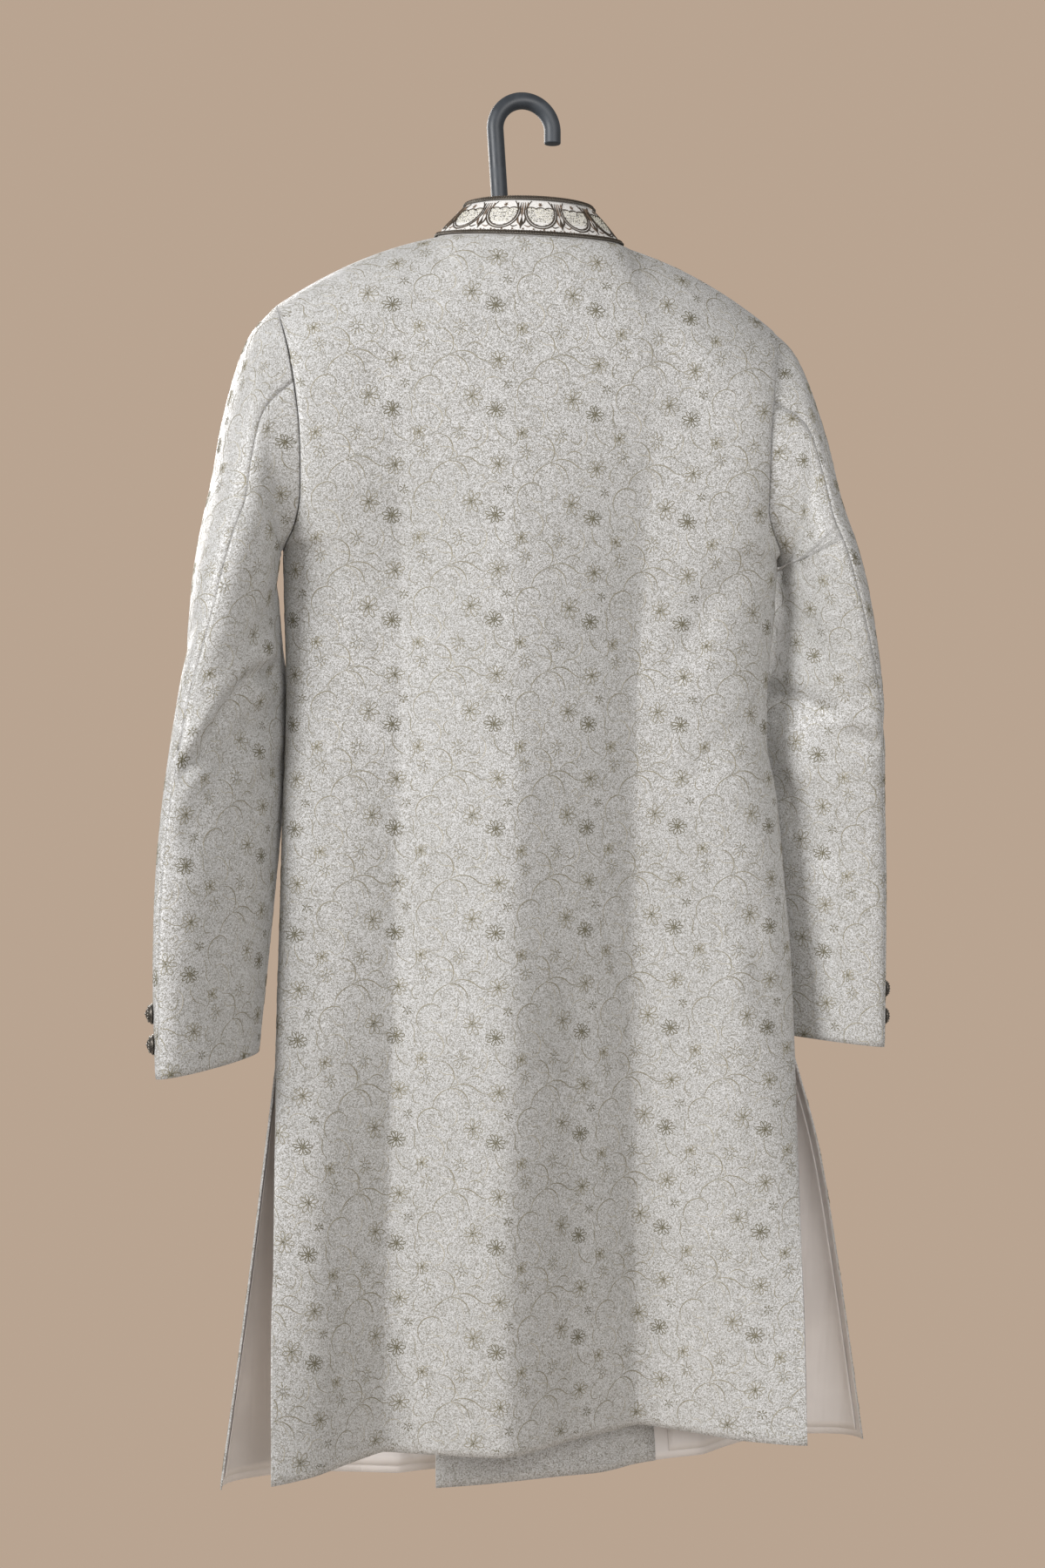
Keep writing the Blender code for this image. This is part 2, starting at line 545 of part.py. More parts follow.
# ---- the pieces --------------------------------------------------------------------------------------
def body_normals(grid, panel):
    """Normals with square rims at the side seams, armholes, shoulder seams and free edges."""
    normals = grid_normals(grid, -1 if panel == "back" else 1)
    z = grid[..., 2]
    edges = {"back": (0, -1), "front_left": (-1,), "front_right": (0,)}[panel]
    for edge in edges:
        seam = (z[:, edge] > SLIT_Z - 1e-6) & (z[:, edge] < UNDERARM_Z + 1e-6)
        arm = z[:, edge] > UNDERARM_Z + 1e-6
        without(normals, 1, np.where(seam)[0], edge)
        without(normals, 0, np.where(arm)[0], edge)
    on_shoulder = np.abs(grid[-1, :, 0]) > NECK_HALF_WIDTH - 1e-4
    without(normals, 1, -1, np.where(on_shoulder)[0])
    without(normals, 2, -1, np.where(~on_shoulder)[0])
    return normals


def make_panel(panel, *counts):
    grid = panel_grid(panel, *counts)
    normals = body_normals(grid, panel)
    add_wall(panel, grid, grid - normals * CLOTH, BROCADE)
    return grid, normals


def draw_in_sides(part):
    """Pulls the first and last columns in by half a seam's gap, along the rows."""
    for edge, inside in ((0, 1), (-1, -2)):
        along = part[:, inside] - part[:, edge]
        part[:, edge] += along / np.linalg.norm(along, axis=-1, keepdims=True) * SEAM_GAP / 2


def make_under(name, grid, normals, thickness, material):
    """A piece that lies inside a panel, made from the panel's points moved in."""
    outer = grid - normals * (CLOTH + LAYER_GAP)
    draw_in_sides(outer)
    add_wall(name, outer, outer - normals * thickness, material)


def make_sleeve(side, rings, rows, top_columns, under_columns):
    word = "left" if side > 0 else "right"
    top, under = sleeve_angles(rows, top_columns, under_columns)
    angles = np.concatenate([top, under[:, 1:-1]], axis=1)
    grid = sleeve_grid(rings, angles, rows, side)
    normals = grid_normals(grid, -side, closed=True)
    without(normals, 0, 0)
    first, last = 0, top_columns
    pieces = {
        "top": np.arange(first, last + 1),
        "under": np.append(np.arange(last, angles.shape[1]), first),
    }
    for piece, columns in pieces.items():
        part, turned = grid[:, columns].copy(), normals[:, columns]
        draw_in_sides(part)
        name = f"sleeve_{word}_{piece}"
        add_wall(name, part, part - turned * CLOTH, BROCADE)
    return grid, normals, angles


def make_collar(rows):
    grid = collar_grid(rows)
    normals = grid_normals(grid, -1)
    without(normals, 2, 0)
    add_wall("collar", grid, grid - normals * COLLAR_WALL, EMBROIDERY)


def make_collar_cord(name, up, sides):
    """A cord that lies on the collar's outer face, at a share of its height."""
    angle = collar_angles()
    angle[[0, -1]] *= 1 - 0.8 / COLLAR_END_ANGLE
    step = 1e-3
    here = collar_point(angle, np.full_like(angle, up))
    across = collar_point(angle + step, np.full_like(angle, up)) - here
    climb = collar_point(angle, np.full_like(angle, up + step)) - here
    normal = np.cross(across, climb)
    normal /= np.linalg.norm(normal, axis=-1, keepdims=True)
    normal *= np.sign((normal * [1, 1, 0] * here).sum(axis=-1))[:, None]
    path = here + normal * (CORD_RADIUS + LAYER_GAP)
    radius = np.full(len(path), CORD_RADIUS)
    add_tube(name, swept(path, radius, radius, sides, np.array([0.0, 0.0, 1.0])), METAL_CORD)


def add_button(name, place, direction, lift):
    """A domed button whose flat back stands lift away from place, facing direction."""
    direction = np.asarray(direction, float) / np.linalg.norm(direction)
    side = np.cross(direction, [0.0, 0.0, 1.0])
    side /= np.linalg.norm(side)
    up = np.cross(side, direction)
    turn = np.linspace(0, 2 * np.pi, 14, endpoint=False)
    profile = [(1.0, 0.0), (1.0, 0.30), (0.86, 0.62), (0.52, 0.92)]
    rings = []
    for radius, height in profile:
        centre = np.asarray(place) + direction * (lift + height * BUTTON_HEIGHT)
        rings.append(
            centre
            + BUTTON_RADIUS * radius * (side * np.cos(turn)[:, None] + up * np.sin(turn)[:, None])
        )
    add_tube(name, np.array(rings), ANTIQUE_METAL)


def make_cuff_buttons(side, grid, normals, angles):
    word = "left" if side > 0 else "right"
    for n, z in enumerate(CUFF_BUTTON_Z, 1):
        row = int(np.argmin(np.abs(grid[:, 0, 2] - z)))
        column_index = int(np.argmin(np.abs(angles[row] - np.radians(CUFF_BUTTON_ANGLE))))
        line = grid[::-1, column_index]
        place = [np.interp(z, line[:, 2], line[:, k]) for k in range(3)]
        normal = normals[row, column_index] * [1, 1, 0]
        add_button(f"cuff_button_{word}_{n}", place, normal, LAYER_GAP + 0.001)


def make_front_buttons():
    heights = np.linspace(FRONT_BUTTON_TOP_Z, FRONT_BUTTON_BOTTOM_Z, FRONT_BUTTONS)
    for n, z in enumerate(heights, 1):
        place = body_point("front_left", np.array([0.0]), np.array([z]))[0]
        add_button(f"front_button_{n}", place, (0.0, -1.0, 0.0), LAYER_GAP + 0.001)


def make_hanger():
    turn = np.linspace(-0.5 * np.pi, 0.5 * np.pi, 15)
    crown_z = -(HOOK_BEND - HOOK_RADIUS)
    arch = np.stack([HOOK_BEND * np.sin(turn), 0 * turn, crown_z + HOOK_BEND * np.cos(turn)], axis=-1)
    short = np.array([[-HOOK_BEND, 0, crown_z - HOOK_SHORT_LEG * a] for a in (1.0, 0.94, 0.82, 0.5)])
    leg = np.array([[HOOK_LEG_X + (HOOK_BEND - HOOK_LEG_X) * a, 0, HOOK_LEG_Z + (crown_z - HOOK_LEG_Z) * a]
                    for a in (0.66, 0.33, 0.0)])
    t = np.array([0.2, 0.4, 0.6, 0.8, 0.9, 1.0])
    foot_x = HOOK_LEG_X + (COAT_X - HOOK_LEG_X) * smooth_step(t, 0, 0.9)
    foot_z = HOOK_LEG_Z + (HANGER_TOP_Z + HOOK_CLEAR - HOOK_LEG_Z) * t
    down = np.stack([foot_x, 0 * t, foot_z], axis=-1)
    path = np.concatenate([short, arch, leg, down])
    radius = np.full(len(path), HOOK_RADIUS)
    radius[:3] *= (0.62, 0.84, 0.97)
    add_tube("hanger_hook", swept(path, radius, radius, 14, np.array([0.0, 1.0, 0.0])), DARK_PLASTIC)

    x = np.concatenate([np.linspace(0, 0.19, 9), [0.200, 0.208, 0.212]])
    half_depth, half_height = (column(HANGER_ARMS, name, x, "x") for name in ("half_depth", "half_height"))
    seam_z, _ = top_of(np.maximum(x, NECK_HALF_WIDTH), False)
    arm_top = np.minimum(seam_z - CLOTH - HANGER_CLEAR, HANGER_TOP_Z + 0 * x - 0.12 * np.maximum(x - 0.03, 0))
    path = np.stack([x, 0 * x, arm_top - half_height], axis=-1)
    path = np.concatenate([path[:0:-1] * [-1, 1, 1], path]) + [COAT_X, 0, 0]
    depth = np.concatenate([half_depth[:0:-1], half_depth])
    height = np.concatenate([half_height[:0:-1], half_height])
    add_tube("hanger_body", swept(path, depth, height, 14, np.array([0.0, 1.0, 0.0])), DARK_PLASTIC)


def main():
    for obj in list(bpy.data.objects):
        bpy.data.objects.remove(obj, do_unlink=True)
    counts = (6, SKIRT_ROWS, 7, ARMHOLE_STEPS)
    make_panel("back", *counts)
    left, left_normals = make_panel("front_left", *counts)
    right, right_normals = make_panel("front_right", *counts)
    skirt = slice(0, SKIRT_ROWS + 1)
    make_under("lining_front_left", left[skirt, 3:-1], left_normals[skirt, 3:-1], LINING, SATIN)
    make_under("lining_front_right", right[skirt, 1:-4], right_normals[skirt, 1:-4], LINING, SATIN)
    make_under("facing_front_right", right[skirt, -5:], right_normals[skirt, -5:], LINING, BROCADE)
    for side, rings in ((1.0, LEFT_RINGS), (-1.0, RIGHT_RINGS)):
        make_cuff_buttons(side, *make_sleeve(side, rings, 16, 11, 9))
    make_collar(2)
    make_collar_cord("collar_cord_base", 0.13, 6)
    make_collar_cord("collar_cord_top", 0.95, 6)
    make_front_buttons()
    make_hanger()


main()
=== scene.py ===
"""A brocade sherwani on a hanger: what the cloth, thread, cords, beads, buttons and hook look like.

The shapes come from the same tables and functions as the CAD part; this script gives them a finer
surface, the listed creases, the woven figure and the collar's needlework. Metres, +Z up, the
underside of the hook's crown at the origin, +Y behind the wearer and +X at the wearer's left.
"""

from collections import namedtuple

import bmesh
import bpy
import numpy as np
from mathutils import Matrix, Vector


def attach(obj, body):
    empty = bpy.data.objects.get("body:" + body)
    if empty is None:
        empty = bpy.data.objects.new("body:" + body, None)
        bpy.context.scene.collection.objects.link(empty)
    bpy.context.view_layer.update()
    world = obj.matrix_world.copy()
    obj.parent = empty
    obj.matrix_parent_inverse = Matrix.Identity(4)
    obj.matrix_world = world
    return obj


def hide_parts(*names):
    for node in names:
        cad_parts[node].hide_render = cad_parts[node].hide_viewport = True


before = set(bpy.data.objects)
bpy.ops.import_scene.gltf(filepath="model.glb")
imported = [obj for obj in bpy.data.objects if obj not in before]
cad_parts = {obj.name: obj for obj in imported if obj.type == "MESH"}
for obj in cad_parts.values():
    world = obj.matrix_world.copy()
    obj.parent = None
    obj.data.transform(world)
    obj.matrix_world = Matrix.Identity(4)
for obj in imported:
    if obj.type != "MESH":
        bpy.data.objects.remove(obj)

# ---- cloth ------------------------------------------------------------------------------------------
CLOTH = 0.0020  # brocade with its interlining
LINING = 0.0010
COLLAR_WALL = 0.0030
SEAM_GAP = 0.0001  # between pieces sewn together; the CAD part leaves more
LAYER_GAP = 0.0005  # between pieces that lie on each other

# ---- heights and places on the body ------------------------------------------------------------------
COAT_X = -0.005  # the coat's middle hangs a little to the right of the hook's
NECK_HALF_WIDTH = 0.0855
NECK_SIDE_Z = -0.121
NECK_BACK_Y, NECK_BACK_DROP = 0.056, 0.007
NECK_FRONT_Y, NECK_FRONT_DROP = -0.064, 0.076
OVERLAP_ANGLE = 199.5  # how far round the neck each front's free edge reaches, from the middle of the back
TIP_HALF_WIDTH, TIP_Z = 0.228, -0.189
SHOULDER_BULGE = 0.009  # the shoulder seam's rise above a straight line
SHOULDER_ROLL = 0.105  # the drop over which the cloth turns from the seam to the full depth
NECK_ROLL = 0.050
UNDERARM_Z = -0.402
ARMHOLE_HALF_DEPTH = 0.052
UNDERARM_BLEND = 0.07  # height above and below the underarm over which the body opens to the armhole
SLIT_Z = -0.854
BACK_HEM_Z = -1.193
SIDE_ROUNDNESS = 2.25  # exponent of the curve from the back round to the side seam

# Half widths out to the left and right side seams (above the underarm, to the armholes), and the depth
# of the back, of the front and of the seam where they meet.
Body = namedtuple("Body", "z left right y_back y_front y_side")
BODY = [
    Body(-0.120, 0.2285, 0.2275, 0.0630, -0.0660, 0.000),
    Body(-0.189, 0.2290, 0.2275, 0.0660, -0.0680, 0.000),
    Body(-0.245, 0.2210, 0.2170, 0.0670, -0.0700, 0.000),
    Body(-0.310, 0.2140, 0.2115, 0.0670, -0.0710, 0.000),
    Body(-0.360, 0.2125, 0.2130, 0.0665, -0.0710, 0.000),
    Body(-0.385, 0.2160, 0.2240, 0.0660, -0.0710, 0.000),
    Body(-0.402, 0.2220, 0.2345, 0.0660, -0.0705, 0.000),
    Body(-0.450, 0.2210, 0.2315, 0.0650, -0.0690, 0.000),
    Body(-0.524, 0.2195, 0.2240, 0.0640, -0.0670, 0.002),
    Body(-0.570, 0.2205, 0.2230, 0.0640, -0.0670, 0.004),
    Body(-0.615, 0.2225, 0.2310, 0.0640, -0.0670, 0.006),
    Body(-0.685, 0.2250, 0.2370, 0.0640, -0.0670, 0.010),
    Body(-0.780, 0.2290, 0.2420, 0.0640, -0.0670, 0.020),
    Body(-0.854, 0.2320, 0.2425, 0.0645, -0.0670, 0.028),
]

# The free side edges below the slits, x being positive at the wearer's left.
Edge = namedtuple("Edge", "z x y")
SIDE_EDGES = {
    ("back", "left"): [
        Edge(-0.854, 0.232, 0.028),
        Edge(-1.020, 0.238, 0.062),
        Edge(-1.193, 0.243, 0.097),
    ],
    ("back", "right"): [
        Edge(-0.854, -0.2425, 0.028),
        Edge(-1.020, -0.2370, 0.062),
        Edge(-1.193, -0.2300, 0.097),
    ],
    ("front", "left"): [
        Edge(-0.854, 0.232, 0.028),
        Edge(-0.940, 0.242, 0.022),
        Edge(-1.050, 0.255, 0.014),
        Edge(-1.222, 0.278, 0.007),
    ],
    ("front", "right"): [
        Edge(-0.854, -0.2425, 0.028),
        Edge(-0.940, -0.269, 0.022),
        Edge(-1.050, -0.292, 0.012),
        Edge(-1.222, -0.321, 0.002),
    ],
}

# Long folds. A fold sinks into the panel along its line, and its two flanks end at left and right of it.
Fold = namedtuple("Fold", "panel x_top x_waist x_hem z_start depth_waist depth_hem flank_left flank_right")
FOLDS = [
    Fold("back", 0.129, 0.124, 0.138, -0.17, 0.023, 0.048, 0.105, 0.100),
    Fold("back", -0.103, -0.091, -0.102, -0.20, 0.026, 0.070, 0.140, 0.122),
    Fold("front_left", 0.128, 0.122, 0.112, -0.33, 0.004, 0.016, 0.080, 0.070),
    Fold("front_right", -0.120, -0.130, -0.170, -0.33, 0.005, 0.022, 0.075, 0.085),
]
FOLD_SHARPNESS = 0.03  # share of a flank over which the bottom of a fold is rounded
FOLD_POWER = 1.35
FOLD_GROWTH = 0.7  # below 1, a fold deepens quickly under its start
WAIST_Z = -0.524

# The fronts' free edges and the hem under them. The underlap is the right front.
FREE_EDGE_HEM_LEFT, FREE_EDGE_HEM_RIGHT = -0.031, 0.080
FRONT_HEM_SIDE_Z, FRONT_HEM_MIDDLE_Z = -1.222, -1.242
UNDERLAP_INSET_HEM = 0.048  # how far the underlap hangs inside the outer front at the hem
UNDERLAP_REACH_TOP = (0.34, 0.10)  # share of the half width where it starts to pass inside, and is inside
UNDERLAP_REACH_HEM = (0.75, 0.08)  # the same for the hem's swing

# ---- sleeves -----------------------------------------------------------------------------------------
# A ring's plane is vertical at the armhole (tilt 90) and level lower down (tilt 0). out is its half size
# away from the body, along its half size from front to back, and turn swings the back edge outwards.
Ring = namedtuple("Ring", "x y z tilt out along turn")
LEFT_RINGS = [
    Ring(0.2412, 0.001, -0.3150, 82, 0.0950, 0.0550, 0),
    Ring(0.2507, 0.001, -0.3455, 70, 0.0670, 0.0600, -2),
    Ring(0.2545, 0.001, -0.3750, 48, 0.0450, 0.0650, -5),
    Ring(0.2590, 0.002, -0.3960, 24, 0.0370, 0.0700, -9),
    Ring(0.2630, 0.003, -0.4300, 8, 0.0360, 0.0740, -15),
    Ring(0.2640, 0.003, -0.4800, 0, 0.0345, 0.0780, -24),
    Ring(0.2645, 0.005, -0.5400, 0, 0.0325, 0.0800, -36),
    Ring(0.2745, 0.019, -0.6200, 0, 0.0310, 0.0780, -41),
    Ring(0.2820, 0.030, -0.6900, 0, 0.0280, 0.0760, -43),
    Ring(0.2878, 0.041, -0.7700, 0, 0.0245, 0.0720, -43),
    Ring(0.2913, 0.0495, -0.8460, -5, 0.0200, 0.0690, -41),
]
RIGHT_RINGS = [
    Ring(0.2440, 0.001, -0.3106, 87, 0.0985, 0.0550, 0),
    Ring(0.2562, 0.001, -0.3420, 76, 0.0690, 0.0600, 0),
    Ring(0.2640, 0.001, -0.3758, 54, 0.0415, 0.0660, -2),
    Ring(0.2690, 0.000, -0.3960, 24, 0.0325, 0.0720, -5),
    Ring(0.2735, -0.002, -0.4270, 5, 0.0335, 0.0750, -10),
    Ring(0.2758, -0.006, -0.4800, 0, 0.0325, 0.0780, -20),
    Ring(0.2715, -0.012, -0.5400, 0, 0.0325, 0.0800, -36),
    Ring(0.2720, -0.014, -0.6200, 0, 0.0310, 0.0780, -41),
    Ring(0.2745, -0.014, -0.6900, 0, 0.0280, 0.0760, -43),
    Ring(0.2770, -0.011, -0.7700, 0, 0.0245, 0.0720, -43),
    Ring(0.2785, -0.0065, -0.8460, -5, 0.0200, 0.0690, -41),
]
# The sleeve's two seams, in degrees round the ring from its outermost point towards the back.
SEAM_ANGLE_ARMHOLE, SEAM_ANGLE_ELBOW = 72.0, 91.0
FOREARM_ANGLE_ARMHOLE, FOREARM_ANGLE_WRIST = 234.0, 269.0

# ---- collar ------------------------------------------------------------------------------------------
COLLAR_HEIGHT_BACK, COLLAR_HEIGHT_SIDE = 0.0360, 0.0305
COLLAR_LEAN_X, COLLAR_LEAN_Y = 0.67, 0.80  # the top edge's size as a share of the base's
COLLAR_LIFT = 0.0010  # of the collar's base over the neckline
COLLAR_END_ANGLE = 173.0  # where each end stands, in degrees from the middle of the back
COLLAR_END_HEIGHT = 0.55  # share of the height left at the very end
COLLAR_END_ROUND = 22.0  # degrees over which the top edge comes down to the end

# ---- buttons -----------------------------------------------------------------------------------------
BUTTON_RADIUS, BUTTON_HEIGHT = 0.0088, 0.0062
CUFF_BUTTON_Z = (-0.7976, -0.8226)
CUFF_BUTTON_ANGLE = 64.0  # round the cuff, as the seams are
# The dome from its base to its middle, as (radius, height) in shares of the button's own.
BUTTON_PROFILE = [
    (0.92, 0.00), (1.00, 0.10), (1.00, 0.22), (0.93, 0.34), (0.88, 0.33), (0.84, 0.42), (0.76, 0.58),
    (0.66, 0.72), (0.60, 0.76), (0.50, 0.79), (0.44, 0.88), (0.30, 0.96), (0.14, 1.00),
]
# Its beads: how many in the ring, and the ring's radius, height and bead size in the same shares.
BUTTON_BEADS = [(16, 0.74, 0.64, 0.085), (1, 0.0, 1.0, 0.13)]
FRONT_BUTTONS = 7
FRONT_BUTTON_TOP_Z, FRONT_BUTTON_BOTTOM_Z = -0.225, -0.790

# ---- hanger ------------------------------------------------------------------------------------------
HOOK_RADIUS = 0.0075  # of the tube
HOOK_BEND = 0.0265  # of the tube's centreline round the crown
HOOK_SHORT_LEG = 0.011
HOOK_LEG_X, HOOK_LEG_Z = 0.0225, -0.0800
HANGER_TOP_Z = -0.147
HANGER_CLEAR = 0.006  # between the arms and the cloth over them
HOOK_CLEAR = 0.0006  # between the hook's foot and the arms
Arm = namedtuple("Arm", "x half_depth half_height")
HANGER_ARMS = [
    Arm(0.000, 0.0110, 0.0110),
    Arm(0.040, 0.0100, 0.0090),
    Arm(0.090, 0.0120, 0.0080),
    Arm(0.150, 0.0150, 0.0070),
    Arm(0.195, 0.0160, 0.0060),
    Arm(0.212, 0.0120, 0.0045),
]

# ---- fine grids ----------------------------------------------------------------------------------------
SKIRT_FINE_ROWS, WAIST_FINE_ROWS, CHEST_FINE_ROWS = 52, 62, 44
BACK_COLUMNS, FRONT_COLUMNS = 104, 82
FOLD_COLUMNS = [(0.5461, 0.5847, 9), (-0.4613, -0.3987, 12)]  # extra columns where the back's folds run
FACING_COLUMNS = 30  # of the right front's columns, from its free edge
SLEEVE_ROWS, SLEEVE_TOP_COLUMNS, SLEEVE_UNDER_COLUMNS = 124, 46, 36
COLLAR_COLUMNS, COLLAR_ROWS = 220, 12
UPWARDS, BACKWARDS = (0.0, 0.0, 1.0), (0.0, 1.0, 0.0)
CAP_TURN = (-0.36, -0.20)  # heights over which a sleeve's grain turns in to the shoulder
EDGE_ROLL = 0.22  # share of a wall by which its edges are rounded
SLEEVE_RADIUS = 0.055  # of a sleeve, to turn degrees round it into metres

# Creases, given one by one. Points are (metres across the body or degrees round a sleeve, height); a crease
# sinks by depth, or stands proud where depth is negative, and fades over its width.
Crease = namedtuple("Crease", "points width depth")
CREASES = {
    "back": [
        # down the back, beside the two long folds
        Crease([(0.030, -0.62), (0.034, -0.90), (0.036, -1.19)], 0.034, -0.0045),
        Crease([(0.196, -0.90), (0.205, -1.19)], 0.020, -0.0035),
        Crease([(-0.030, -0.80), (-0.036, -1.19)], 0.022, 0.0035),
        Crease([(-0.180, -0.78), (-0.172, -1.19)], 0.022, -0.0040),
        # from the underarms and round the waist
        Crease([(0.205, -0.400), (0.165, -0.435), (0.140, -0.490)], 0.014, 0.0026),
        Crease([(-0.205, -0.405), (-0.160, -0.440), (-0.128, -0.500)], 0.014, 0.0026),
        Crease([(0.212, -0.520), (0.180, -0.535), (0.150, -0.560)], 0.009, 0.0018),
        Crease([(-0.214, -0.545), (-0.178, -0.560), (-0.140, -0.600)], 0.010, 0.0018),
        Crease([(0.060, -0.170), (0.110, -0.200), (0.150, -0.255)], 0.020, 0.0022),
        Crease([(-0.055, -0.170), (-0.100, -0.205), (-0.140, -0.270)], 0.020, 0.0022),
        Crease([(0.225, -0.845), (0.205, -0.800), (0.196, -0.740)], 0.014, 0.0025),
        Crease([(-0.232, -0.845), (-0.208, -0.795), (-0.198, -0.730)], 0.014, 0.0025),
    ],
    # the fronts, the same kinds of crease
    "front_left": [
        Crease([(0.205, -0.405), (0.160, -0.440), (0.110, -0.505)], 0.016, 0.0028),
        Crease([(0.210, -0.540), (0.160, -0.552), (0.120, -0.580)], 0.011, 0.0020),
        Crease([(0.040, -0.700), (0.046, -1.230)], 0.026, 0.0045),
        Crease([(0.185, -0.900), (0.205, -1.220)], 0.024, -0.0050),
        Crease([(0.090, -0.250), (0.120, -0.310), (0.130, -0.400)], 0.020, 0.0022),
    ],
    "front_right": [
        Crease([(-0.205, -0.405), (-0.155, -0.445), (-0.100, -0.500)], 0.016, 0.0028),
        Crease([(-0.212, -0.550), (-0.170, -0.560), (-0.120, -0.595)], 0.011, 0.0020),
        Crease([(-0.060, -0.700), (-0.075, -1.230)], 0.026, 0.0045),
        Crease([(-0.215, -0.900), (-0.250, -1.220)], 0.024, -0.0050),
        Crease([(-0.090, -0.250), (-0.122, -0.310), (-0.130, -0.400)], 0.020, 0.0022),
    ],
    # left sleeve: one deep trough across the elbow, and its neighbours
    "sleeve_left_under": [
        Crease(
            [(186, -0.511), (162, -0.514), (147, -0.529), (136, -0.5525), (124, -0.583), (98, -0.599)],
            0.0095, 0.0078,
        ),
        Crease([(176, -0.492), (146, -0.508), (126, -0.542), (104, -0.574)], 0.012, -0.0042),
        Crease([(168, -0.556), (146, -0.592), (130, -0.640)], 0.026, 0.0060),
        Crease([(196, -0.545), (166, -0.560), (150, -0.590)], 0.014, 0.0040),
        Crease([(212, -0.590), (184, -0.612), (160, -0.660)], 0.013, 0.0028),
        Crease([(200, -0.430), (170, -0.452), (150, -0.490)], 0.012, 0.0022),
    ],
    "sleeve_left_top": [
        Crease([(-88, -0.520), (-62, -0.540), (-40, -0.585)], 0.012, 0.0045),
        Crease([(-88, -0.575), (-60, -0.590), (-30, -0.600)], 0.010, 0.0034),
        Crease([(88, -0.455), (66, -0.470), (40, -0.500)], 0.012, 0.0020),
        Crease([(-60, -0.300), (-45, -0.345), (-44, -0.400)], 0.016, 0.0024),
    ],
    # right sleeve: shorter creases at the same height
    "sleeve_right_under": [
        Crease([(196, -0.524), (178, -0.526), (166, -0.535), (152, -0.541)], 0.0075, 0.0060),
        Crease([(186, -0.560), (176, -0.575), (172, -0.600)], 0.012, -0.0032),
        Crease([(131, -0.563), (118, -0.568), (104, -0.572)], 0.0075, 0.0050),
        Crease([(134, -0.550), (118, -0.555), (106, -0.557)], 0.0070, -0.0026),
        Crease([(115, -0.525), (96, -0.522)], 0.0060, 0.0028),
        Crease([(205, -0.600), (182, -0.622), (160, -0.672)], 0.014, 0.0030),
        Crease([(200, -0.430), (172, -0.450), (152, -0.486)], 0.012, 0.0022),
    ],
    "sleeve_right_top": [
        Crease([(-88, -0.515), (-60, -0.536), (-38, -0.580)], 0.012, 0.0045),
        Crease([(-88, -0.570), (-58, -0.584), (-28, -0.600)], 0.010, 0.0034),
        Crease([(88, -0.560), (64, -0.552), (40, -0.560)], 0.010, 0.0022),
        Crease([(-60, -0.300), (-45, -0.345), (-44, -0.400)], 0.016, 0.0024),
    ],
}

# ---- the woven figure ----------------------------------------------------------------------------------
REPEAT_WIDTH, REPEAT_HEIGHT = 0.0900, 0.0910
PETAL_WIDTH, VINE_WIDTH = 0.40, 1.40  # half a thread in millimetres, and a factor
# Rows left without thread at a patch's first edge: a panel's hem, a sleeve's armhole, the collar's base.
CLEAR_ROWS = 0.8
PLACE_STEPS, PLACE_MISS = 16, 2e-4  # rounds of the search for a flat point, and the miss allowed, in metres
PATTERN_START = {
    "back": (0.012, 0.030),
    "front_left": (0.040, 0.005),
    "front_right": (0.022, 0.060),
    "sleeve": (0.030, 0.044),
}

# ---- the collar's needlework, in millimetres unless a comment says metres ------------------------------
BASE_ROPE_UP, TOP_ROPE_UP = 0.045, 0.975  # shares of the collar's height
COLLAR_SWELL = 0.0008  # metres by which padding rounds the collar's face
MEDALLIONS, MEDALLION_PITCH = 13, 33.4
BOWL_HALF_WIDTH, BOWL_RIM, BOWL_DEPTH, BOWL_SCALLOPS = 12.9, 23.6, 15.4, 3
ROPE_SIDES, ROPE_STEP = 10, 0.00055
ROPE_RADIUS, ROPE_PITCH = 0.00112, 0.0046  # of each of the two cords along an edge, in metres
ROPE_WAIST = 0.36  # share of its radius that a cord keeps between its two strands
ROPE_SPREAD = 0.95  # distance of each of the two cords from their middle line, in radii
ROPE_END = 0.8  # degrees by which the cords stop short of the collar's end
LINE_SAMPLES = 400  # points that measure the length of a line round the collar
CORD_SPACING, CORD_THREAD = 1.9, 0.72  # of the two cords that outline a bowl
SMALL_FLOWER_UP = 29.0
BEAD_PITCH, BEAD_ROWS, BEAD_COLUMNS, BEAD_JITTER = 1.55, 10, 22, 0.22
# A bead's rings from its base up, as (radius, height) in shares of its own radius.
BEAD_SIDES, BEAD_LEVELS = 6, ((1.0, -0.1), (0.86, 0.5), (0.42, 0.88))
BASE_BEAD_PITCH, BASE_BEAD_UP, BASE_BEAD_SWAY = 2.7, 4.4, 1.1
# The spray between two medallions: the sides that a leaf stands on, its points on the right, and its width.
LEAVES = [
    ((1,), [(0, 5.5), (0.2, 11), (0, 17)], 1.25),
    ((-1, 1), [(0.4, 8), (2.8, 12.5), (3.0, 18)], 0.75),
    ((1,), [(0, 16), (-0.1, 23), (0, 31)], 0.85),
    ((-1, 1), [(1.1, 19), (2.4, 25), (1.9, 31)], 0.6),
    ((-1, 1), [(2.6, 9.0), (6.0, 7.6), (8.6, 9.2)], 0.55),
    ((-1, 1), [(4.6, 25.5), (4.9, 28.5), (4.6, 31.2)], 1.0),
]

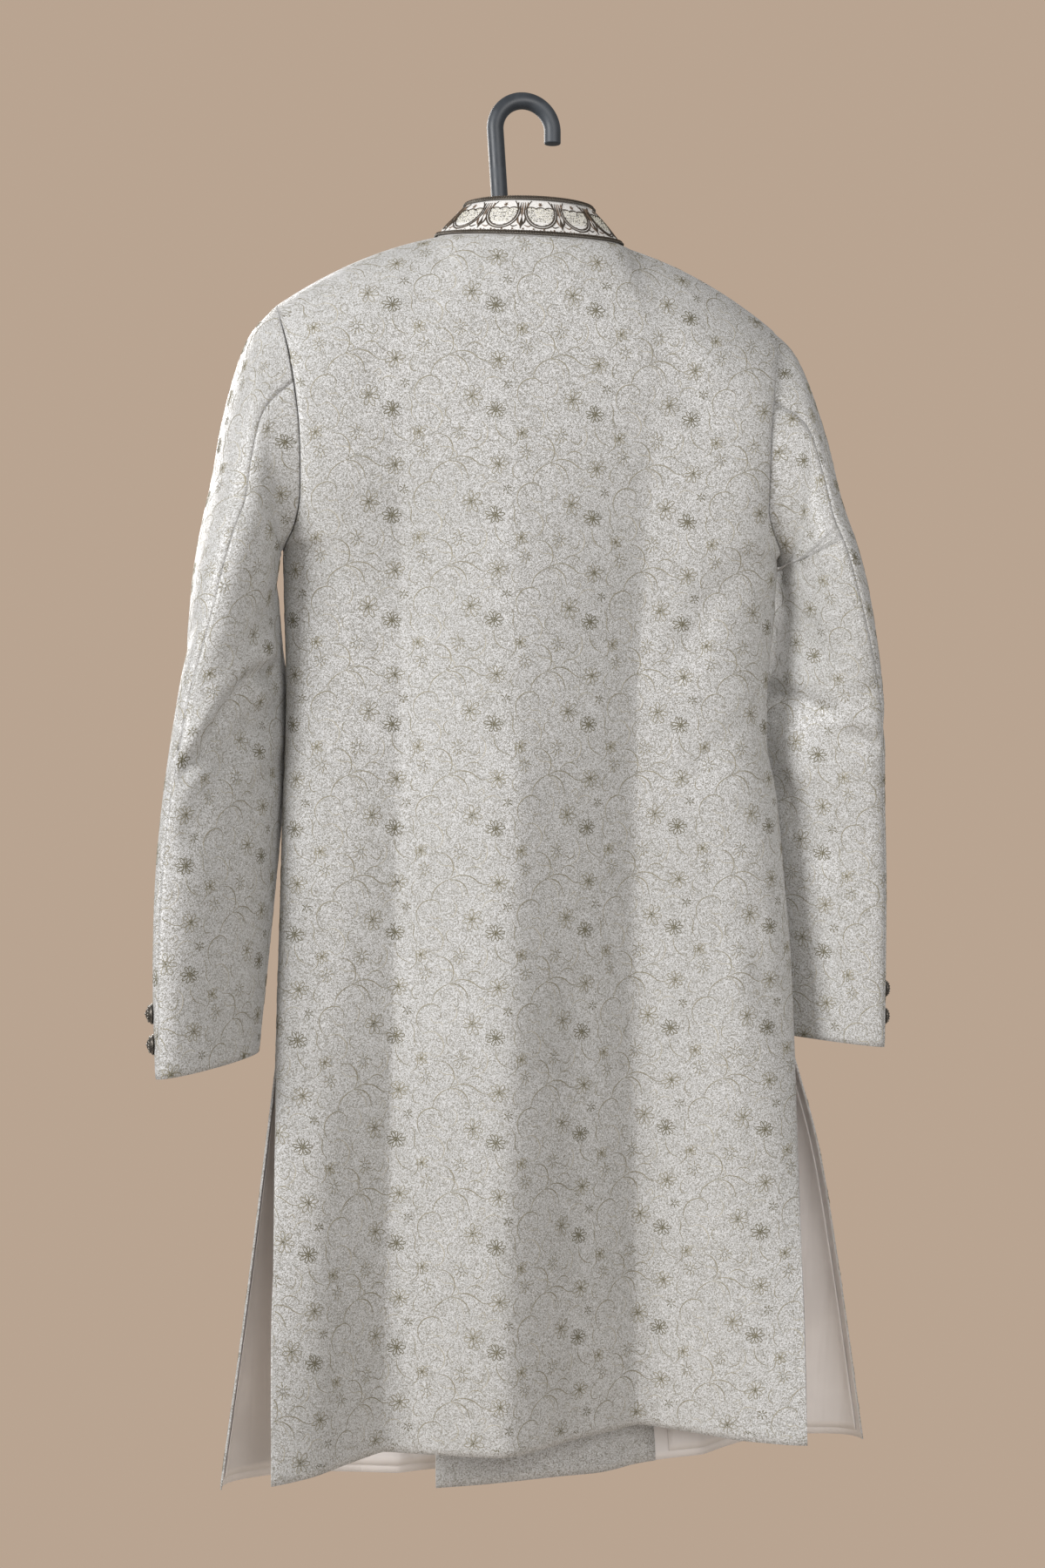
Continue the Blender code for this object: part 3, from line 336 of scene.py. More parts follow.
# ---- stage ---------------------------------------------------------------------------------------------
CAMERA_AIM, CAMERA_DISTANCE = (0, 0.066, -0.592), 1.9
CAMERA_BEARING = 13.4  # degrees from straight behind, towards the wearer's left
CAMERA_SHIFT = -0.0117
FLOOR_Z, FLOOR_RADIUS, FLOOR_COLOR = -1.80, 1.2, (0.55, 0.47, 0.39)
BACKDROP_COLOR = (0.485, 0.372, 0.284)
AMBIENT_COLOR, AMBIENT = (1.0, 0.96, 0.92), 0.25
LAMP_AIM = (0, 0, -0.65)
LAMPS = [
    # name, place, size, watts, colour
    ("key", (2.55, 1.35, 0.45), (1.0, 1.4), 90.0, (1.0, 0.995, 1.0)),
    ("back_fill", (-0.5, 2.7, 0.0), (1.6, 1.6), 42.0, (1.0, 0.98, 0.97)),
    ("front_fill", (0.9, -2.3, 0.5), (1.6, 1.6), 58.0, (1.0, 0.97, 0.94)),
]


# ---- reading the tables ------------------------------------------------------------------------------
def column(table, name, at, key="z"):
    """A column of a table at any height, on a smooth curve through the rows that never overshoots."""
    rows = sorted(table, key=lambda row: getattr(row, key))
    x = np.array([getattr(row, key) for row in rows], float)
    y = np.array([getattr(row, name) for row in rows], float)
    width = np.diff(x)
    slope = np.diff(y) / width
    tangent = np.concatenate([slope[:1], np.zeros(len(x) - 2), slope[-1:]])
    turning = slope[:-1] * slope[1:] > 0
    a, b = 2 * width[1:] + width[:-1], width[1:] + 2 * width[:-1]
    with np.errstate(divide="ignore", invalid="ignore"):
        mean = (a + b) / (a / slope[:-1] + b / slope[1:])
    tangent[1:-1] = np.where(turning, mean, 0.0)
    at = np.clip(np.asarray(at, float), x[0], x[-1])
    i = np.clip(np.searchsorted(x, at) - 1, 0, len(x) - 2)
    t = (at - x[i]) / width[i]
    return hermite(y[i], y[i + 1], tangent[i] * width[i], tangent[i + 1] * width[i], t)


def hermite(start, end, leave, arrive, t):
    """The cubic from start to end, with the slopes that it leaves and arrives with, at t from 0 to 1."""
    return (
        start * (1 + 2 * t) * (1 - t) ** 2
        + leave * t * (1 - t) ** 2
        + end * t**2 * (3 - 2 * t)
        + arrive * t**2 * (t - 1)
    )


def unit(vectors, least=0.0):
    """Vectors along the last axis scaled to length 1; least guards a vector of no length."""
    return vectors / (np.linalg.norm(vectors, axis=-1, keepdims=True) + least)


def length_along(path):
    """The distance gone along a path at each of its points."""
    return np.concatenate([[0], np.cumsum(np.linalg.norm(np.diff(path, axis=0), axis=1))])


def smooth_step(x, start, end):
    t = np.clip((x - start) / (end - start), 0.0, 1.0)
    return t * t * (3 - 2 * t)


# ---- the body's surface ------------------------------------------------------------------------------
def neck_share(x):
    """How far round the neckline x lies: 1 at the middle of the back or front, 0 at the shoulder seam."""
    return np.sqrt(np.clip(1 - (x / NECK_HALF_WIDTH) ** 2, 0, 1))


def top_of(x, front):
    """Height and depth of a panel's upper edge over x: neckline, then shoulder seam."""
    c = neck_share(x)
    over = np.clip((np.abs(x) - NECK_HALF_WIDTH) / (TIP_HALF_WIDTH - NECK_HALF_WIDTH), 0, 1)
    seam_z = NECK_SIDE_Z + (TIP_Z - NECK_SIDE_Z) * over + 4 * SHOULDER_BULGE * over * (1 - over)
    if front:
        neck_z, neck_y = NECK_SIDE_Z - NECK_FRONT_DROP * c**1.2, NECK_FRONT_Y * c
    else:
        neck_z, neck_y = NECK_SIDE_Z - NECK_BACK_DROP * c, NECK_BACK_Y * c
    in_neck = np.abs(x) < NECK_HALF_WIDTH
    return np.where(in_neck, neck_z, seam_z), np.where(in_neck, neck_y, 0.0)


def edge_depth(z, side):
    """Depth of the seam or armhole at the body's side: the armhole's curve above the underarm."""
    middle, half = (TIP_Z + UNDERARM_Z) / 2, (TIP_Z - UNDERARM_Z) / 2
    up = np.clip((z - middle) / half, -1, 0)
    curve = side * ARMHOLE_HALF_DEPTH * np.sqrt(1 - up**2)
    return np.where(z > UNDERARM_Z, curve, column(BODY, "y_side", z))


def fold_depth(panel, x, z, hem_z):
    """How far the panel's long folds sink into it."""
    depth = np.zeros_like(x)
    for f in FOLDS:
        if f.panel != panel:
            continue
        low = np.clip((WAIST_Z - z) / (WAIST_Z - hem_z), 0, 1)
        high = np.clip((z - WAIST_Z) / (f.z_start - WAIST_Z), 0, 1)
        line = np.where(
            z < WAIST_Z,
            f.x_waist + (f.x_hem - f.x_waist) * low**1.5,
            f.x_waist + (f.x_top - f.x_waist) * high,
        )
        grown = np.where(
            z < WAIST_Z,
            f.depth_waist + (f.depth_hem - f.depth_waist) * low,
            f.depth_waist * smooth_step(z, f.z_start, WAIST_Z) ** FOLD_GROWTH,
        )
        flank = np.where(x > line, f.flank_left, f.flank_right)
        t = np.sqrt(((x - line) / flank) ** 2 + FOLD_SHARPNESS**2)
        depth += grown * np.clip(1 - t, 0, 1) ** FOLD_POWER
    return depth


def body_point(panel, x_share, z):
    """A point of a panel's outer face: x_share is -1 at the right side edge and 1 at the left one."""
    front = panel != "back"
    side = -1.0 if front else 1.0
    below = z < SLIT_Z
    x_edge, y_edge = {}, {}
    for hand, sign in (("left", 1), ("right", -1)):
        edge = SIDE_EDGES["front" if front else "back", hand]
        x_edge[hand] = np.where(below, column(edge, "x", z), sign * column(BODY, hand, z))
        y_edge[hand] = np.where(below, column(edge, "y", z), edge_depth(z, side))
    x = (x_edge["left"] + x_edge["right"] + (x_edge["left"] - x_edge["right"]) * x_share) / 2
    y_edge = np.where(x_share > 0, y_edge["left"], y_edge["right"])
    y_full = column(BODY, "y_front" if front else "y_back", z)
    share = np.abs(x_share)
    low, high = UNDERARM_Z - UNDERARM_BLEND, UNDERARM_Z + UNDERARM_BLEND
    by_underarm = (z > low) & (z <= (TIP_Z + UNDERARM_Z) / 2)
    opened = side * ARMHOLE_HALF_DEPTH * smooth_step(z, low, high)
    y_near = np.where(by_underarm, opened, y_edge)
    round_over = (1 - np.clip(share, 0, 1) ** SIDE_ROUNDNESS) ** (1 / SIDE_ROUNDNESS)
    hem_z = BACK_HEM_Z if not front else FRONT_HEM_SIDE_Z
    loose = smooth_step(z, SLIT_Z, hem_z) * (0.0 if front else 1.0)
    flared = 1 - share**2.2
    y = y_near + (y_full - y_near) * (round_over * (1 - loose) + flared * loose)
    y += (y_edge - y_near) * share**12
    y -= side * fold_depth(panel, x, z, hem_z) * (1 - share**8)
    top_z, top_y = top_of(x, front)
    in_neck = smooth_step(np.abs(x), NECK_HALF_WIDTH * 1.3, NECK_HALF_WIDTH * 0.6)
    roll = SHOULDER_ROLL + (NECK_ROLL - SHOULDER_ROLL) * in_neck
    drop = np.clip((top_z - z) / roll, 0, 1)
    y = top_y + (y - top_y) * np.sqrt(1 - (1 - drop) ** 2)
    if panel == "front_right":
        hang = np.clip((SLIT_Z + 0.12 - z) / (SLIT_Z + 0.12 - FRONT_HEM_MIDDLE_Z), 0, 1) ** 1.3
        y += smooth_step(-x_share, *UNDERLAP_REACH_TOP) * (CLOTH + 2 * LAYER_GAP)
        y += smooth_step(-x_share, *UNDERLAP_REACH_HEM) * UNDERLAP_INSET_HEM * hang
    return np.stack([x, y + side * SEAM_GAP / 2, z + 0 * x], axis=-1)


def hem_height(panel, x_share):
    if panel == "back":
        return BACK_HEM_Z + 0 * x_share
    return FRONT_HEM_MIDDLE_Z + (FRONT_HEM_SIDE_Z - FRONT_HEM_MIDDLE_Z) * np.abs(x_share) ** 1.5


def free_edge_share(panel, z):
    """Where a front's free edge lies, as a share of the half width."""
    sign = -1.0 if panel == "front_left" else 1.0
    hem = FREE_EDGE_HEM_LEFT if panel == "front_left" else FREE_EDGE_HEM_RIGHT
    hang = smooth_step(z, WAIST_Z, FRONT_HEM_MIDDLE_Z)
    top = sign * NECK_HALF_WIDTH * np.sin(np.radians(OVERLAP_ANGLE - 180))
    return (top * (1 - hang) + hem * hang) / TIP_HALF_WIDTH


# ---- sleeves -----------------------------------------------------------------------------------------
def armhole_point(angle, hand, gap):
    """A point of the armhole's loop, from the shoulder tip over the back to the underarm and the front."""
    middle, half = (TIP_Z + UNDERARM_Z) / 2, (TIP_Z - UNDERARM_Z) / 2
    z = middle + half * np.cos(angle)
    x = column(BODY, hand, z)
    return np.stack([x + gap, ARMHOLE_HALF_DEPTH * np.sin(angle), z], axis=-1)


def ring_point(ring, angle):
    tilt, turn = np.radians(ring.tilt), np.radians(ring.turn)
    out = ring.out * np.cos(angle) * np.cos(turn) - ring.along * np.sin(angle) * np.sin(turn)
    back = ring.out * np.cos(angle) * np.sin(turn) + ring.along * np.sin(angle) * np.cos(turn)
    return np.stack(
        [ring.x + out * np.cos(tilt), ring.y + back, ring.z + out * np.sin(tilt)],
        axis=-1,
    )


def through(points, at):
    """A smooth curve through points (rings first axis), spaced by the square root of their distance."""
    gap = np.sqrt(np.linalg.norm(np.diff(points, axis=0), axis=-1)).mean(axis=1)
    knots = np.concatenate([[0], np.cumsum(gap)])
    slope = np.diff(points, axis=0) / gap[:, None, None]
    weight = (gap[:-1] / (gap[:-1] + gap[1:]))[:, None, None]
    inner = slope[:-1] * (1 - weight) + slope[1:] * weight
    tangent = np.concatenate([slope[:1], inner, slope[-1:]])
    s = at * knots[-1]
    i = np.clip(np.searchsorted(knots, s, side="right") - 1, 0, len(gap) - 1)
    t = ((s - knots[i]) / gap[i])[:, None, None]
    h = gap[i][:, None, None]
    return hermite(points[i], points[i + 1], tangent[i] * h, tangent[i + 1] * h, t)


def sleeve_angles(rows, top_columns, under_columns):
    """The angle of each column at each ring: the top sleeve's columns and then the under sleeve's."""
    down = np.linspace(0, 1, rows)[:, None]
    blend = smooth_step(down, 0.0, 0.45)
    elbow = SEAM_ANGLE_ARMHOLE + (SEAM_ANGLE_ELBOW - SEAM_ANGLE_ARMHOLE) * blend
    forearm = FOREARM_ANGLE_ARMHOLE + (FOREARM_ANGLE_WRIST - FOREARM_ANGLE_ARMHOLE) * blend
    over = np.linspace(0, 1, top_columns + 1)[None, :]
    under = np.linspace(0, 1, under_columns + 1)[None, :]
    top = forearm - 360 + (elbow - forearm + 360) * over
    low = elbow + (forearm - elbow) * under
    return np.radians(top), np.radians(low)


def sleeve_grid(rings, angles, rows, side):
    """Rows of points down a sleeve, armhole first, for columns of angles that change row by row."""
    at = np.linspace(0, 1, rows) ** 1.15
    fine = np.radians(np.arange(-180.0, 541.0, 5.0))
    hand = "left" if side > 0 else "right"
    loops = [armhole_point(fine, hand, 2 * SEAM_GAP)] + [ring_point(ring, fine) for ring in rings]
    tube = through(np.array(loops), at)
    grid = np.stack(
        [
            np.stack([np.interp(angles[r], fine, tube[r, :, k]) for k in range(3)], axis=-1)
            for r in range(rows)
        ]
    )
    return grid * [side, 1, 1]


# ---- collar ------------------------------------------------------------------------------------------
def neck_ring(angle, share_x, share_y):
    """The neckline, by the angle from the middle of the back, shrunk about the neck's middle."""
    c = np.cos(angle)
    back = c > 0
    middle_y = (NECK_BACK_Y + NECK_FRONT_Y) / 2
    y = np.where(back, NECK_BACK_Y, -NECK_FRONT_Y) * c
    drop = np.where(back, NECK_BACK_DROP * np.abs(c), NECK_FRONT_DROP * np.abs(c) ** 1.2)
    x = NECK_HALF_WIDTH * np.sin(angle) * share_x
    return np.stack([x, middle_y + (y - middle_y) * share_y, NECK_SIDE_Z - drop], axis=-1)


def collar_point(angle, up):
    """A point of the collar's outer face, up from 0 at its base to 1 at its top edge."""
    to_end = (np.radians(COLLAR_END_ANGLE) - np.abs(angle)) / np.radians(COLLAR_END_ROUND)
    full = COLLAR_END_HEIGHT + (1 - COLLAR_END_HEIGHT) * np.sqrt(1 - (1 - np.clip(to_end, 0, 1)) ** 2)
    rise = up * full
    point = neck_ring(angle, 1 + (COLLAR_LEAN_X - 1) * rise, 1 + (COLLAR_LEAN_Y - 1) * rise)
    height = COLLAR_HEIGHT_SIDE + (COLLAR_HEIGHT_BACK - COLLAR_HEIGHT_SIDE) * np.clip(np.cos(angle), 0, 1)
    point[..., 2] += COLLAR_LIFT + height * rise
    return point


# ---- fine grids of the cloth --------------------------------------------------------------------------
def crease_depth(piece, a, z, a_scale=1.0):
    """How far the listed creases sink a piece, at a (metres across, or degrees round a sleeve) and z."""
    depth = np.zeros_like(a)
    for crease in CREASES[piece]:
        nearest = np.full_like(a, np.inf)
        ends = np.array(crease.points) * [a_scale, 1]
        for start, end in zip(ends, ends[1:]):
            along = end - start
            away = np.stack([a * a_scale, z], axis=-1) - start
            t = np.clip(away @ along / (along @ along), 0, 1)
            nearest = np.minimum(nearest, np.linalg.norm(away - t[..., None] * along, axis=-1))
        depth += crease.depth * np.exp(-((nearest / crease.width) ** 2))
    return depth


def body_surface(panel, columns):
    """A fine grid over a panel, hem first. columns run from the right side edge or from the free edge."""
    if panel == "back":
        shares = [np.sin(np.linspace(-np.pi / 2, np.pi / 2, columns))]
        shares += [np.linspace(start, end, count) for start, end, count in FOLD_COLUMNS]
        shares = np.sort(np.concatenate(shares))[None, :]
        top_shares = shares
    else:
        sign = 1.0 if panel == "front_left" else -1.0
        keep = np.sin(np.linspace(0, np.pi / 2, columns))
        neck_edge = sign * NECK_HALF_WIDTH / TIP_HALF_WIDTH * np.sin(np.radians(OVERLAP_ANGLE))
        top_shares = (neck_edge + (sign - neck_edge) * keep)[None, :]
        if sign < 0:
            keep, top_shares = keep[::-1], top_shares[:, ::-1]
    hem_z = hem_height(panel, top_shares)
    top_z, _ = top_of(top_shares * TIP_HALF_WIDTH, panel != "back")
    skirt = np.linspace(0, 1, SKIRT_FINE_ROWS + 1)[:-1, None]
    waist = np.linspace(0, 1, WAIST_FINE_ROWS + 1)[:-1, None]
    chest = np.sin(np.linspace(0, np.pi / 2, CHEST_FINE_ROWS + 1))[:, None] ** 1.2
    z = np.concatenate([
        hem_z + (SLIT_Z - hem_z) * skirt,
        SLIT_Z + (UNDERARM_Z - SLIT_Z) * waist + 0 * hem_z,
        UNDERARM_Z + (top_z - UNDERARM_Z) * chest,
    ])
    if panel == "back":
        x_share = np.repeat(shares, len(z), axis=0)
    else:
        over_top = smooth_step(z, UNDERARM_Z - 0.1, UNDERARM_Z)
        start = free_edge_share(panel, z) * (1 - over_top) + neck_edge * over_top
        x_share = start + (sign - start) * keep[None, :]
    grid = body_point(panel, x_share, z)
    side = 1.0 if panel == "back" else -1.0
    fade = 1 - np.abs(x_share) ** 8
    near_top = smooth_step(top_z - z, 0.0, 0.03)
    grid[..., 1] -= side * crease_depth(panel, grid[..., 0], z) * fade * near_top
    return grid


def draw_in_sides(grid):
    """Pulls the first and last columns in by half a seam's gap, along the rows."""
    for edge, inside in ((0, 1), (-1, -2)):
        along = grid[:, inside] - grid[:, edge]
        grid[:, edge] += unit(along) * SEAM_GAP / 2


def sleeve_patch(name, side, rings, piece):
    """The fine surface of one sleeve piece, with its creases, and the angles of its points in degrees."""
    columns = SLEEVE_TOP_COLUMNS if piece == "top" else SLEEVE_UNDER_COLUMNS
    top, under = sleeve_angles(SLEEVE_ROWS, columns, columns)
    angles = top if piece == "top" else under
    grid = sleeve_grid(rings, angles, SLEEVE_ROWS, side)
    draw_in_sides(grid)
    over_cap = smooth_step(grid[..., 2], *CAP_TURN)
    grain = np.stack([-side * over_cap, 0 * over_cap, 1.0 - 0.5 * over_cap], axis=-1)
    patch = Patch(grid, grid - grid.mean(axis=1, keepdims=True), grain, columns // 2, SLEEVE_ROWS - 1)
    sink = crease_depth(name, np.degrees(angles), grid[..., 2], np.radians(SLEEVE_RADIUS))
    from_middle = np.abs(np.linspace(-1, 1, columns + 1))
    patch.sink(sink * (1 - from_middle**12))
    return patch, np.degrees(angles)


Cut = namedtuple("Cut", "width length area")


class Patch:
    """A grid of cloth with its outward normals and its own flat coordinates u and v, in metres.

    u runs to the right of someone who looks at the cloth from outside, and v runs up its grain.
    """

    def __init__(self, grid, outward, grain, middle_column, level_row):
        self.point = grid + [COAT_X, 0, 0]
        self.outward = outward
        self.find_normals()
        up = grain - (grain * self.normal).sum(axis=-1, keepdims=True) * self.normal
        up = unit(up)
        right = np.cross(up, self.normal)
        self.u = self.add_up(right, 1)
        self.v = self.add_up(up, 0)
        slide = self.add_up(right, 0)[:, middle_column]
        self.u += (slide - slide[level_row] - self.u[:, middle_column])[:, None]
        self.v -= self.v[level_row]

    def add_up(self, direction, axis):
        """Distance gone along a direction, from the first row or column to each point."""
        point, direction = np.moveaxis(self.point, axis, 0), np.moveaxis(direction, axis, 0)
        step = (np.diff(point, axis=0) * (direction[1:] + direction[:-1]) / 2).sum(axis=-1)
        gone = np.concatenate([np.zeros((1, step.shape[1])), np.cumsum(step, axis=0)])
        return np.moveaxis(gone, 0, axis)

    def find_normals(self):
        across, along = np.gradient(self.point, axis=1), np.gradient(self.point, axis=0)
        normal = unit(np.cross(across, along), 1e-12)
        self.normal = normal * np.sign((normal * self.outward).sum(axis=-1).mean())

    def sink(self, depth):
        """Moves the surface in by depth, along its normals."""
        self.point = self.point - self.normal * depth[..., None]
        self.find_normals()

    def cut(self, window=(slice(None), slice(None))):
        """Width, length and area of the flat piece that the patch, or a window of it, was cut from."""
        point = self.point[window]
        width = np.linalg.norm(np.diff(point, axis=1), axis=-1).sum(axis=1).max()
        length = np.linalg.norm(np.diff(point, axis=0), axis=-1).sum(axis=0).max()
        a, b = np.diff(point, axis=1)[:-1], np.diff(point, axis=0)[:, :-1]
        return Cut(width, length, np.linalg.norm(np.cross(a, b), axis=-1).sum())

    def read(self, values, row, column):
        r = np.clip(np.floor(row).astype(int), 0, values.shape[0] - 2)
        c = np.clip(np.floor(column).astype(int), 0, values.shape[1] - 2)
        fr, fc = row - r, column - c
        if values.ndim == 3:
            fr, fc = fr[..., None], fc[..., None]
        low = values[r, c] * (1 - fc) + values[r, c + 1] * fc
        high = values[r + 1, c] * (1 - fc) + values[r + 1, c + 1] * fc
        return low * (1 - fr) + high * fr

    def place(self, uv, height):
        """Points on the cloth at flat coordinates uv, lifted by height, and which of them lie on it."""
        rows, columns = self.u.shape
        middle_v = self.v[:, columns // 2]
        order = np.argsort(middle_v)
        row = np.interp(uv[:, 1], middle_v[order], order.astype(float))
        column = np.full(len(uv), columns / 2)
        for _ in range(PLACE_STEPS):
            u, v = self.read(self.u, row, column), self.read(self.v, row, column)
            u_r = self.read(self.u, row + 0.5, column) - self.read(self.u, row - 0.5, column)
            u_c = self.read(self.u, row, column + 0.5) - self.read(self.u, row, column - 0.5)
            v_r = self.read(self.v, row + 0.5, column) - self.read(self.v, row - 0.5, column)
            v_c = self.read(self.v, row, column + 0.5) - self.read(self.v, row, column - 0.5)
            det = u_c * v_r - u_r * v_c
            det = np.where(np.abs(det) < 1e-12, 1e-12, det)
            du, dv = uv[:, 0] - u, uv[:, 1] - v
            column = np.clip(column + np.clip((du * v_r - dv * u_r) / det, -9, 9), -0.4, columns - 0.6)
            row = np.clip(row + np.clip((dv * u_c - du * v_c) / det, -9, 9), -0.4, rows - 0.6)
        miss = np.hypot(self.read(self.u, row, column) - uv[:, 0], self.read(self.v, row, column) - uv[:, 1])
        on = (miss < PLACE_MISS) & (row >= CLEAR_ROWS) & (row <= rows - 1)
        on &= (column >= 0) & (column <= columns - 1)
        normal = self.read(self.normal, row, column)
        return self.read(self.point, row, column) + normal * height[:, None], on


# ---- meshes ------------------------------------------------------------------------------------------
def add_object(name, data):
    """A new object in the scene that shows data."""
    obj = bpy.data.objects.new(name, data)
    bpy.context.scene.collection.objects.link(obj)
    return obj


def new_object(name, points, faces, materials, face_material=None, uv=None):
    """A smooth-shaded object from arrays: faces all have the same number of corners."""
    mesh = bpy.data.meshes.new(name)
    count, corners = faces.shape
    mesh.vertices.add(len(points))
    mesh.vertices.foreach_set("co", np.ascontiguousarray(points, np.float32).ravel())
    mesh.loops.add(count * corners)
    mesh.loops.foreach_set("vertex_index", np.ascontiguousarray(faces, np.int32).ravel())
    mesh.polygons.add(count)
    mesh.polygons.foreach_set("loop_start", np.arange(0, count * corners, corners, dtype=np.int32))
    if face_material is not None:
        mesh.polygons.foreach_set("material_index", np.asarray(face_material, np.int32))
    if uv is not None:
        layer = mesh.uv_layers.new(name="Cloth")
        layer.data.foreach_set("uv", np.ascontiguousarray(uv[faces.ravel()], np.float32).ravel())
    mesh.polygons.foreach_set("use_smooth", np.ones(count, bool))
    mesh.update(calc_edges=True)
    mesh.validate()
    for material in materials:
        mesh.materials.append(material)
    return add_object(name, mesh)


def grid_faces(rows, columns, start=0, flip=False):
    index = start + np.arange(rows * columns).reshape(rows, columns)
    a, b, c, d = index[:-1, :-1], index[:-1, 1:], index[1:, 1:], index[1:, :-1]
    corners = (a, d, c, b) if flip else (a, b, c, d)
    return np.stack([k.ravel() for k in corners], axis=1)


def shell(name, patch, wall, offset, outer_material, inner_material, window=None):
    """A thin closed wall whose outer face lies offset inside the patch's surface."""
    rows, columns = window or (slice(None), slice(None))
    point, normal = patch.point[rows, columns], patch.normal[rows, columns]
    uv = np.stack([patch.u, patch.v], axis=-1)[rows, columns].reshape(-1, 2)
    r, c = point.shape[:2]
    near_edge = np.zeros((r, c))
    near_edge[[0, -1], :] = 1
    near_edge[:, [0, -1]] = 1
    outer = point - normal * (offset + near_edge[..., None] * wall * EDGE_ROLL)
    inner = point - normal * (offset + wall - near_edge[..., None] * wall * EDGE_ROLL)
    count = r * c
    flip = np.cross(point[0, 1] - point[0, 0], point[1, 0] - point[0, 0]) @ normal[0, 0] < 0
    index = np.arange(count).reshape(r, c)
    loop = np.concatenate([index[0, :-1], index[:-1, -1], index[-1, :0:-1], index[:0:-1, 0]])
    after = np.roll(loop, -1)
    rim = np.stack([loop, loop + count, after + count, after], axis=1)
    if flip:
        rim = rim[:, ::-1]
    faces = np.concatenate([grid_faces(r, c, 0, flip), grid_faces(r, c, count, not flip), rim])
    inside = np.zeros(len(faces), int)
    inside[(r - 1) * (c - 1):2 * (r - 1) * (c - 1)] = 1
    points = np.concatenate([outer.reshape(-1, 3), inner.reshape(-1, 3)])
    materials = [outer_material, inner_material]
    return new_object(name, points, faces, materials, inside, np.concatenate([uv, uv]))


def tube_mesh(name, rings, material):
    """A smooth tube through rings of points, closed by a flat cap at each end."""
    count, sides = rings.shape[:2]
    index = np.arange(count * sides).reshape(count, sides)
    side_next = np.roll(index, -1, axis=1)
    quads = np.stack([index[:-1], side_next[:-1], side_next[1:], index[1:]], axis=-1).reshape(-1, 4)
    caps = []
    for ring, order in ((index[0], -1), (index[-1], 1)):
        loop = ring[::order]
        half = sides // 2
        for k in range(half - 1):
            caps.append((loop[k], loop[k + 1], loop[sides - 2 - k], loop[sides - 1 - k]))
    return new_object(name, rings.reshape(-1, 3), np.concatenate([quads, np.array(caps)]), [material])


def swept(path, half_widths, half_heights, sides, level):
    """Rings round a path; level is the direction that each ring's width keeps to."""
    tangent = unit(np.gradient(path, axis=0))
    wide = unit(level - (tangent @ level)[:, None] * tangent)
    high = np.cross(tangent, wide)
    turn = np.linspace(0, 2 * np.pi, sides, endpoint=False)
    return (
        path[:, None]
        + wide[:, None] * np.cos(turn)[None, :, None] * half_widths[:, None, None]
        + high[:, None] * np.sin(turn)[None, :, None] * half_heights[:, None, None]
    )


# ---- strokes: thread laid on cloth --------------------------------------------------------------------
class Strokes:
    """Ribbons of thread drawn flat, in millimetres, and then laid on a patch."""

    def __init__(self):
        self.uv, self.height, self.faces, self.thread = [], [], [], []
        self.count = 0

    def ribbon(self, points, half_width, thread, height=0.28):
        """points is an open line; half_width is one number or one for each point."""
        points = np.asarray(points, float)
        tangent = unit(np.gradient(points, axis=0), 1e-9)
        across = np.stack([-tangent[:, 1], tangent[:, 0]], axis=1) * np.reshape(half_width, (-1, 1))
        n = len(points)
        self.uv.append(np.concatenate([points - across, points, points + across]))
        rise = height * np.clip(np.broadcast_to(half_width, (n,)) / 0.3, 0.45, 1.0)
        self.height.append(np.concatenate([np.full(n, -0.04), rise, np.full(n, -0.04)]))
        i = self.count + np.arange(n - 1)
        self.faces.append(np.stack([i, i + 1, i + n + 1, i + n], axis=1))
        self.faces.append(np.stack([i + n, i + n + 1, i + 2 * n + 1, i + 2 * n], axis=1))
        self.thread.append(np.full(2 * (n - 1), thread))
        self.count += 3 * n

    def flat(self):
        return (
            np.concatenate(self.uv) / 1000,
            np.concatenate(self.height) / 1000,
            np.concatenate(self.faces),
            np.concatenate(self.thread),
        )


def curve(points, count):
    """A smooth line through a few points, with tangents from their neighbours."""
    points = np.asarray(points, float)
    tangent = np.gradient(points, axis=0)
    at = np.linspace(0, len(points) - 1, count)
    i = np.minimum(at.astype(int), len(points) - 2)
    t = (at - i)[:, None]
    return hermite(points[i], points[i + 1], tangent[i], tangent[i + 1], t)


def oval(x, y, wide, high, angle):
    """Points at angles round an oval about (x, y), one a row; wide and high are its half sizes."""
    return np.stack([x + wide * np.cos(angle), y + high * np.sin(angle)], axis=-1)


def taper(count, start, middle, end):
    t = np.linspace(0, 1, count)
    return np.where(t < 0.5, start + (middle - start) * 2 * t, middle + (end - middle) * (2 * t - 1))


def lay(name, patch, strokes, materials, offsets):
    """Lays copies of the strokes on a patch, one at each offset, and leaves out what misses the cloth."""
    uv, height, faces, thread = strokes.flat()
    all_uv = (uv[None] + offsets[:, None]).reshape(-1, 2)
    points, on = patch.place(all_uv, np.tile(height, len(offsets)))
    all_faces = (faces[None] + (np.arange(len(offsets)) * len(uv))[:, None, None]).reshape(-1, 4)
    keep = on[all_faces].all(axis=1)
    all_faces, all_thread = all_faces[keep], np.tile(thread, len(offsets))[keep]
    used = np.unique(all_faces)
    renumber = np.zeros(len(points), int)
    renumber[used] = np.arange(len(used))
    return new_object(name, points[used], renumber[all_faces], materials, all_thread)


# ---- the woven figure ---------------------------------------------------------------------------------
DARK_THREAD, OLIVE_THREAD, PALE_THREAD = 0, 1, 2


